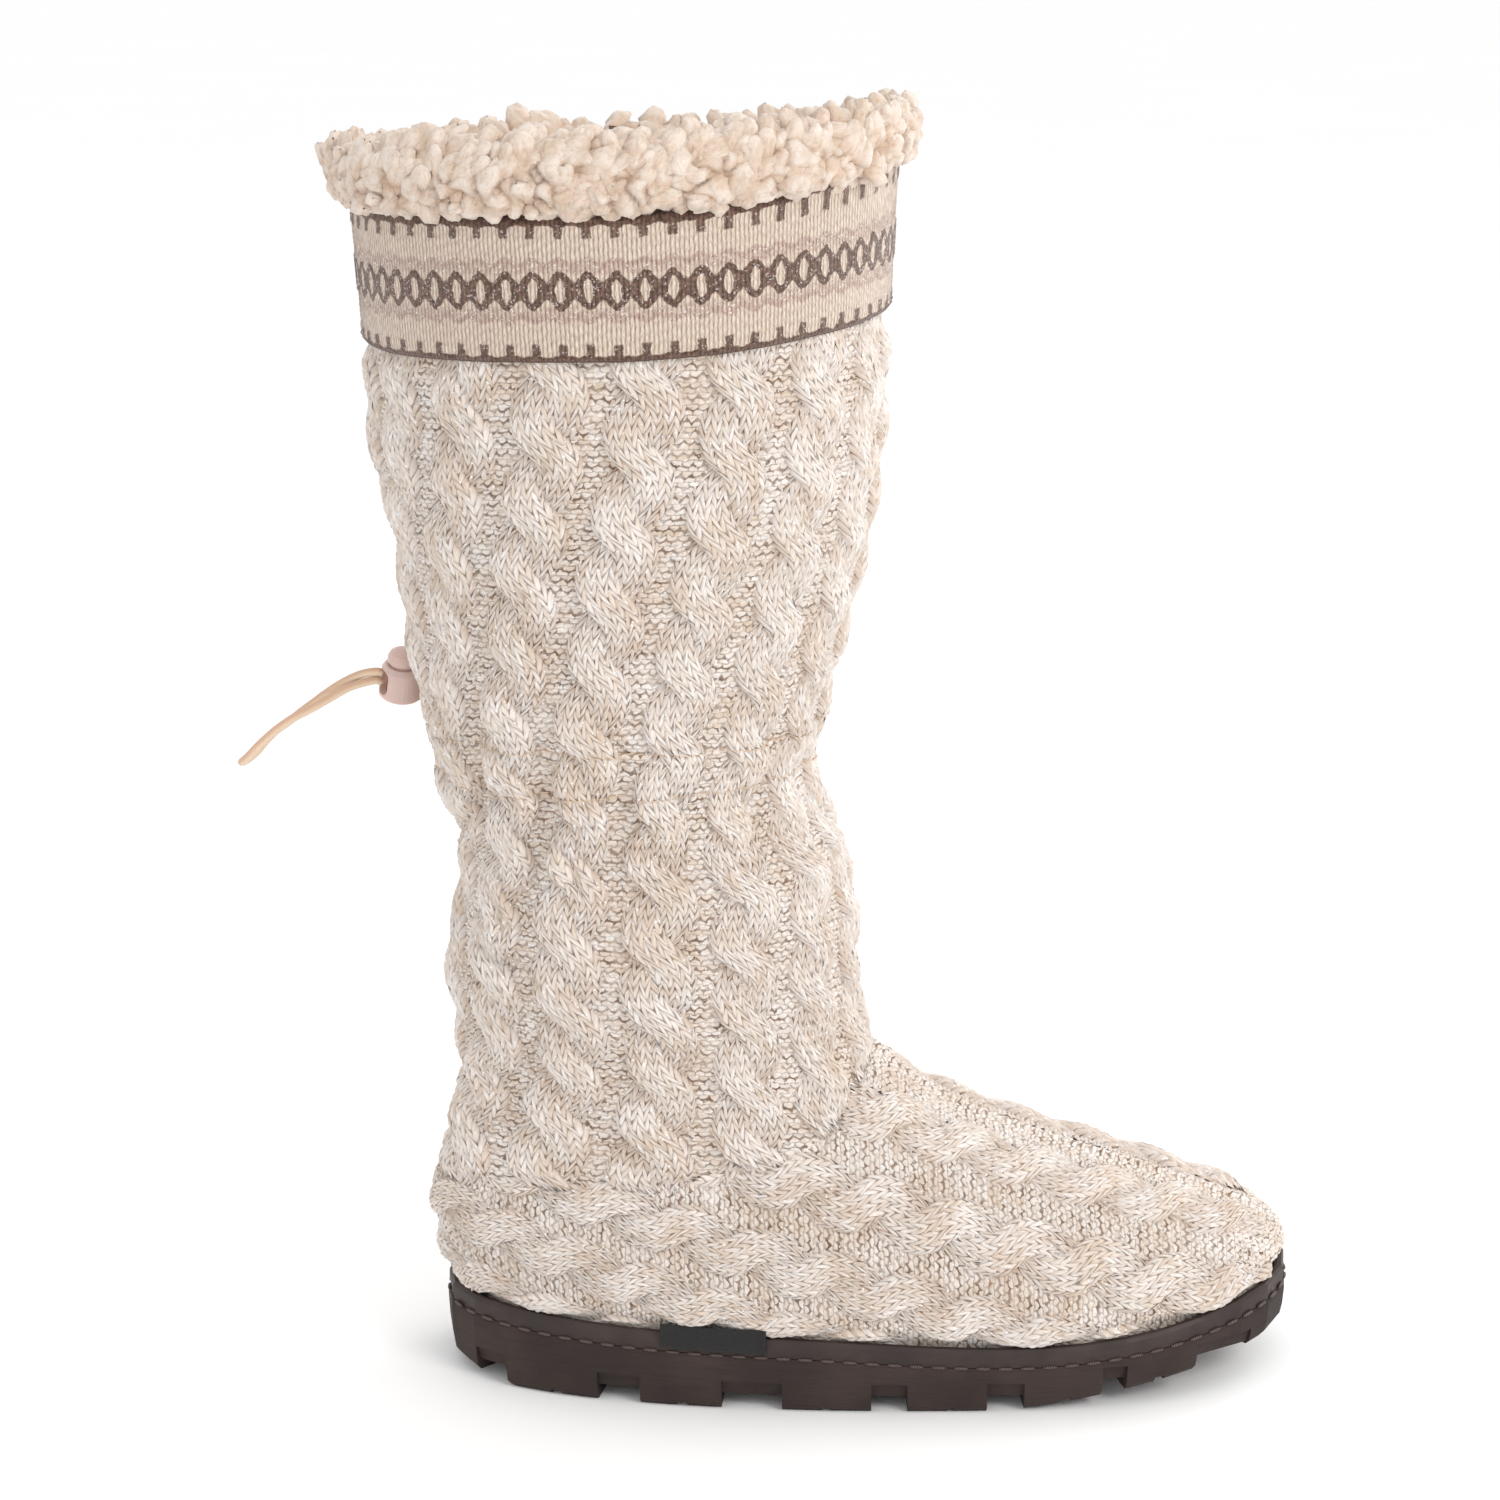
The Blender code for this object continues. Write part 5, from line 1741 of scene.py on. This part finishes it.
class BOOT_OT_fleece(bpy.types.Operator):
    """Fleece collar: a soft roll under locks of pile"""
    bl_idname = "boot.fleece"
    bl_label = "Fleece collar"

    def execute(self, context):
        fleece = context.scene.boot_fleece
        rng = np.random.default_rng(SEED)
        rings = collar_rings()
        normals = outward(rings)
        finish = fleece_finish()
        columns = rings.shape[1]
        fine_row = np.linspace(0, len(rings) - 1, 120)[:, None]
        fine_column = np.arange(0, columns, 0.5)[None, :]
        fine = lookup(rings, fine_row, fine_column)
        fine_out = lookup(normals, fine_row, fine_column)
        work = Patchwork()
        skin = curly_skin(fine - ROLL_SINK * fine_out, fine_out, rng, CURL_GAP, CURL_HEIGHT)
        work.add(*skin, closed=True, facing=fine_out)
        roll = work.build("fleece_roll", finish, "boot")
        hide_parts("fleece_collar")
        around = unit(np.roll(rings, -1, axis=1) - np.roll(rings, 1, axis=1))
        up = unit(np.gradient(rings, axis=0))
        kinds = (
            # name, how many, lowest and highest row, shortest, longest, girth, lean up, lean round, shape
            ("fleece_clumps", fleece.clumps, 1, 16, 5.0, 8.5, 0.42, -0.45, 0.2, CLUMP_GIRTH),
            ("fleece_locks", fleece.locks, 12, 36, 8.0, fleece.length / MM, 0.30, 0.9, -0.7, LOCK_GIRTH),
            ("fleece_inner", fleece.locks // 3, 34, 53, 5.0, 9.5, 0.30, 0.7, -0.3, LOCK_GIRTH),
        )
        for name, count, low, high, shortest, longest, thick, lean_up, lean_round, girth in kinds:
            row = rng.uniform(low, high, count)
            column = (np.arange(count) + rng.uniform(-0.5, 0.5, count)) * columns / count * 7.0 % columns
            root, out, rise, side = (lookup(table, row, column) for table in (rings, normals, up, around))
            out = unit(out)
            lean = unit(rise * (lean_up + rng.normal(0, 0.45, count))[:, None]
                        + side * (lean_round + rng.normal(0, 0.5, count))[:, None])
            length = rng.uniform(shortest, longest, count)
            width = length * thick * rng.uniform(0.8, 1.2, count)
            work = Patchwork()
            cross = np.cross(out, lean)
            tufts(work, root - (1.0 + width)[:, None] * out, out, lean, cross, length, width, girth, rng)
            work.build(name, finish, "boot")
        return {"FINISHED"}


class BOOT_OT_insole(bpy.types.Operator):
    """Pile-covered foam insole"""
    bl_idname = "boot.insole"
    bl_label = "Insole"

    def execute(self, context):
        work = Patchwork()
        count = INSOLE_POINTS
        rim = np.array([outline_ring(inset, height, count) for inset, height in INSOLE_SECTION])
        edge = rim[-1]
        work.add(rim, np.arange(count)[None, :], np.arange(len(rim))[:, None], 0.5, closed=True,
                 facing=rim - rim.mean(axis=(0, 1)))
        half = count // 2
        share = np.linspace(0, 1, 25)
        outer = edge[:half + 1]
        inner = edge[(count - np.arange(half + 1)) % count]
        top = outer[:, None] * (1 - share)[None, :, None] + inner[:, None] * share[None, :, None]
        width = np.linalg.norm(outer - inner, axis=1)[:, None]
        crown = np.sin(share * math.pi)[None, :] * np.clip(width, 0, 30)
        wave = np.sin(top[..., 0] * 0.21) * np.sin(top[..., 1] * 0.25 + 1)
        top[..., 2] += INSOLE_CROWN * crown + INSOLE_WAVE * wave * np.sin(share * math.pi)
        work.add(top, share[None, :], np.arange(half + 1)[:, None], 0.3, facing=0 * top + (0.0, 0.0, 1.0))
        piece = work.build("insole_pile", lining_finish(), "boot")
        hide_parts("insole")
        return {"FINISHED"}


class BOOT_OT_tag(bpy.types.Operator):
    """Blank woven tag over the rand"""
    bl_idname = "boot.tag"
    bl_label = "Side tag"

    def execute(self, context):
        curve = inset_curve(SOLE_CURVE, TAG_INSET)[:len(SOLE_CURVE) // 2]
        curve = curve[np.argsort(curve[:, 0])]
        x = np.linspace(TAG_FROM_X, TAG_TO_X, 49)
        line = np.column_stack([x, np.interp(x, curve[:, 0], curve[:, 1]), sole_top(x)])
        out = np.cross(np.gradient(line, axis=0), (0.0, 0.0, 1.0))
        out[:, 2] = 0
        out = unit(out)
        profile = np.array(TAG_PROFILE)
        ripple = 0.10 * np.sin(x * 0.9)[:, None] * np.linspace(0, 1, len(profile))[None, :]
        rise = profile[:, 1][None, :] + 0.12 * np.sin(x * 0.7 + 1)[:, None]
        points = line[:, None] + (profile[:, 0][None, :] + ripple)[..., None] * out[:, None]
        points[..., 2] += rise
        work = Patchwork()
        work.add(points, (x * 1.6)[:, None], (run_along(profile) * 1.4)[None, :], 0.0,
                 facing=0 * points + out[:, None])
        piece = work.build("side_tag_woven", tag_finish(), "boot")
        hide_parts("side_tag")
        return {"FINISHED"}


OPERATORS = (
    BOOT_OT_cord, BOOT_OT_stage, BOOT_OT_sole, BOOT_OT_welt, BOOT_OT_shaft, BOOT_OT_foot, BOOT_OT_upper,
    BOOT_OT_casing, BOOT_OT_band, BOOT_OT_fleece, BOOT_OT_insole, BOOT_OT_tag)
GROUPS = (
    ("boot_knit", BootKnit),
    ("boot_fleece", BootFleece),
    ("boot_band", BootBand),
    ("boot_colours", BootColours),
)


class BOOT_PT_panel(bpy.types.Panel):
    """Sizes, colours and pieces of the boot"""
    bl_idname = "BOOT_PT_panel"
    bl_label = "Boot slipper"
    bl_space_type = "VIEW_3D"
    bl_region_type = "UI"
    bl_category = "Boot"

    def draw(self, context):
        for name, group in GROUPS:
            box = self.layout.box()
            settings = getattr(context.scene, name)
            for key in group.__annotations__:
                box.prop(settings, key)
        for operator in OPERATORS:
            self.layout.operator(operator.bl_idname)


def register():
    for name, group in GROUPS:
        bpy.utils.register_class(group)
        setattr(bpy.types.Scene, name, bpy.props.PointerProperty(type=group))
    for operator in OPERATORS:
        bpy.utils.register_class(operator)
    bpy.utils.register_class(BOOT_PT_panel)


def unregister():
    bpy.utils.unregister_class(BOOT_PT_panel)
    for operator in reversed(OPERATORS):
        bpy.utils.unregister_class(operator)
    for name, group in reversed(GROUPS):
        delattr(bpy.types.Scene, name)
        bpy.utils.unregister_class(group)


def main():
    """Makes every piece in order."""
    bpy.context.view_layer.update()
    register()
    for operator in OPERATORS:
        group, name = operator.bl_idname.split(".")
        getattr(getattr(bpy.ops, group), name)()


if __name__ == "__main__":
    main()
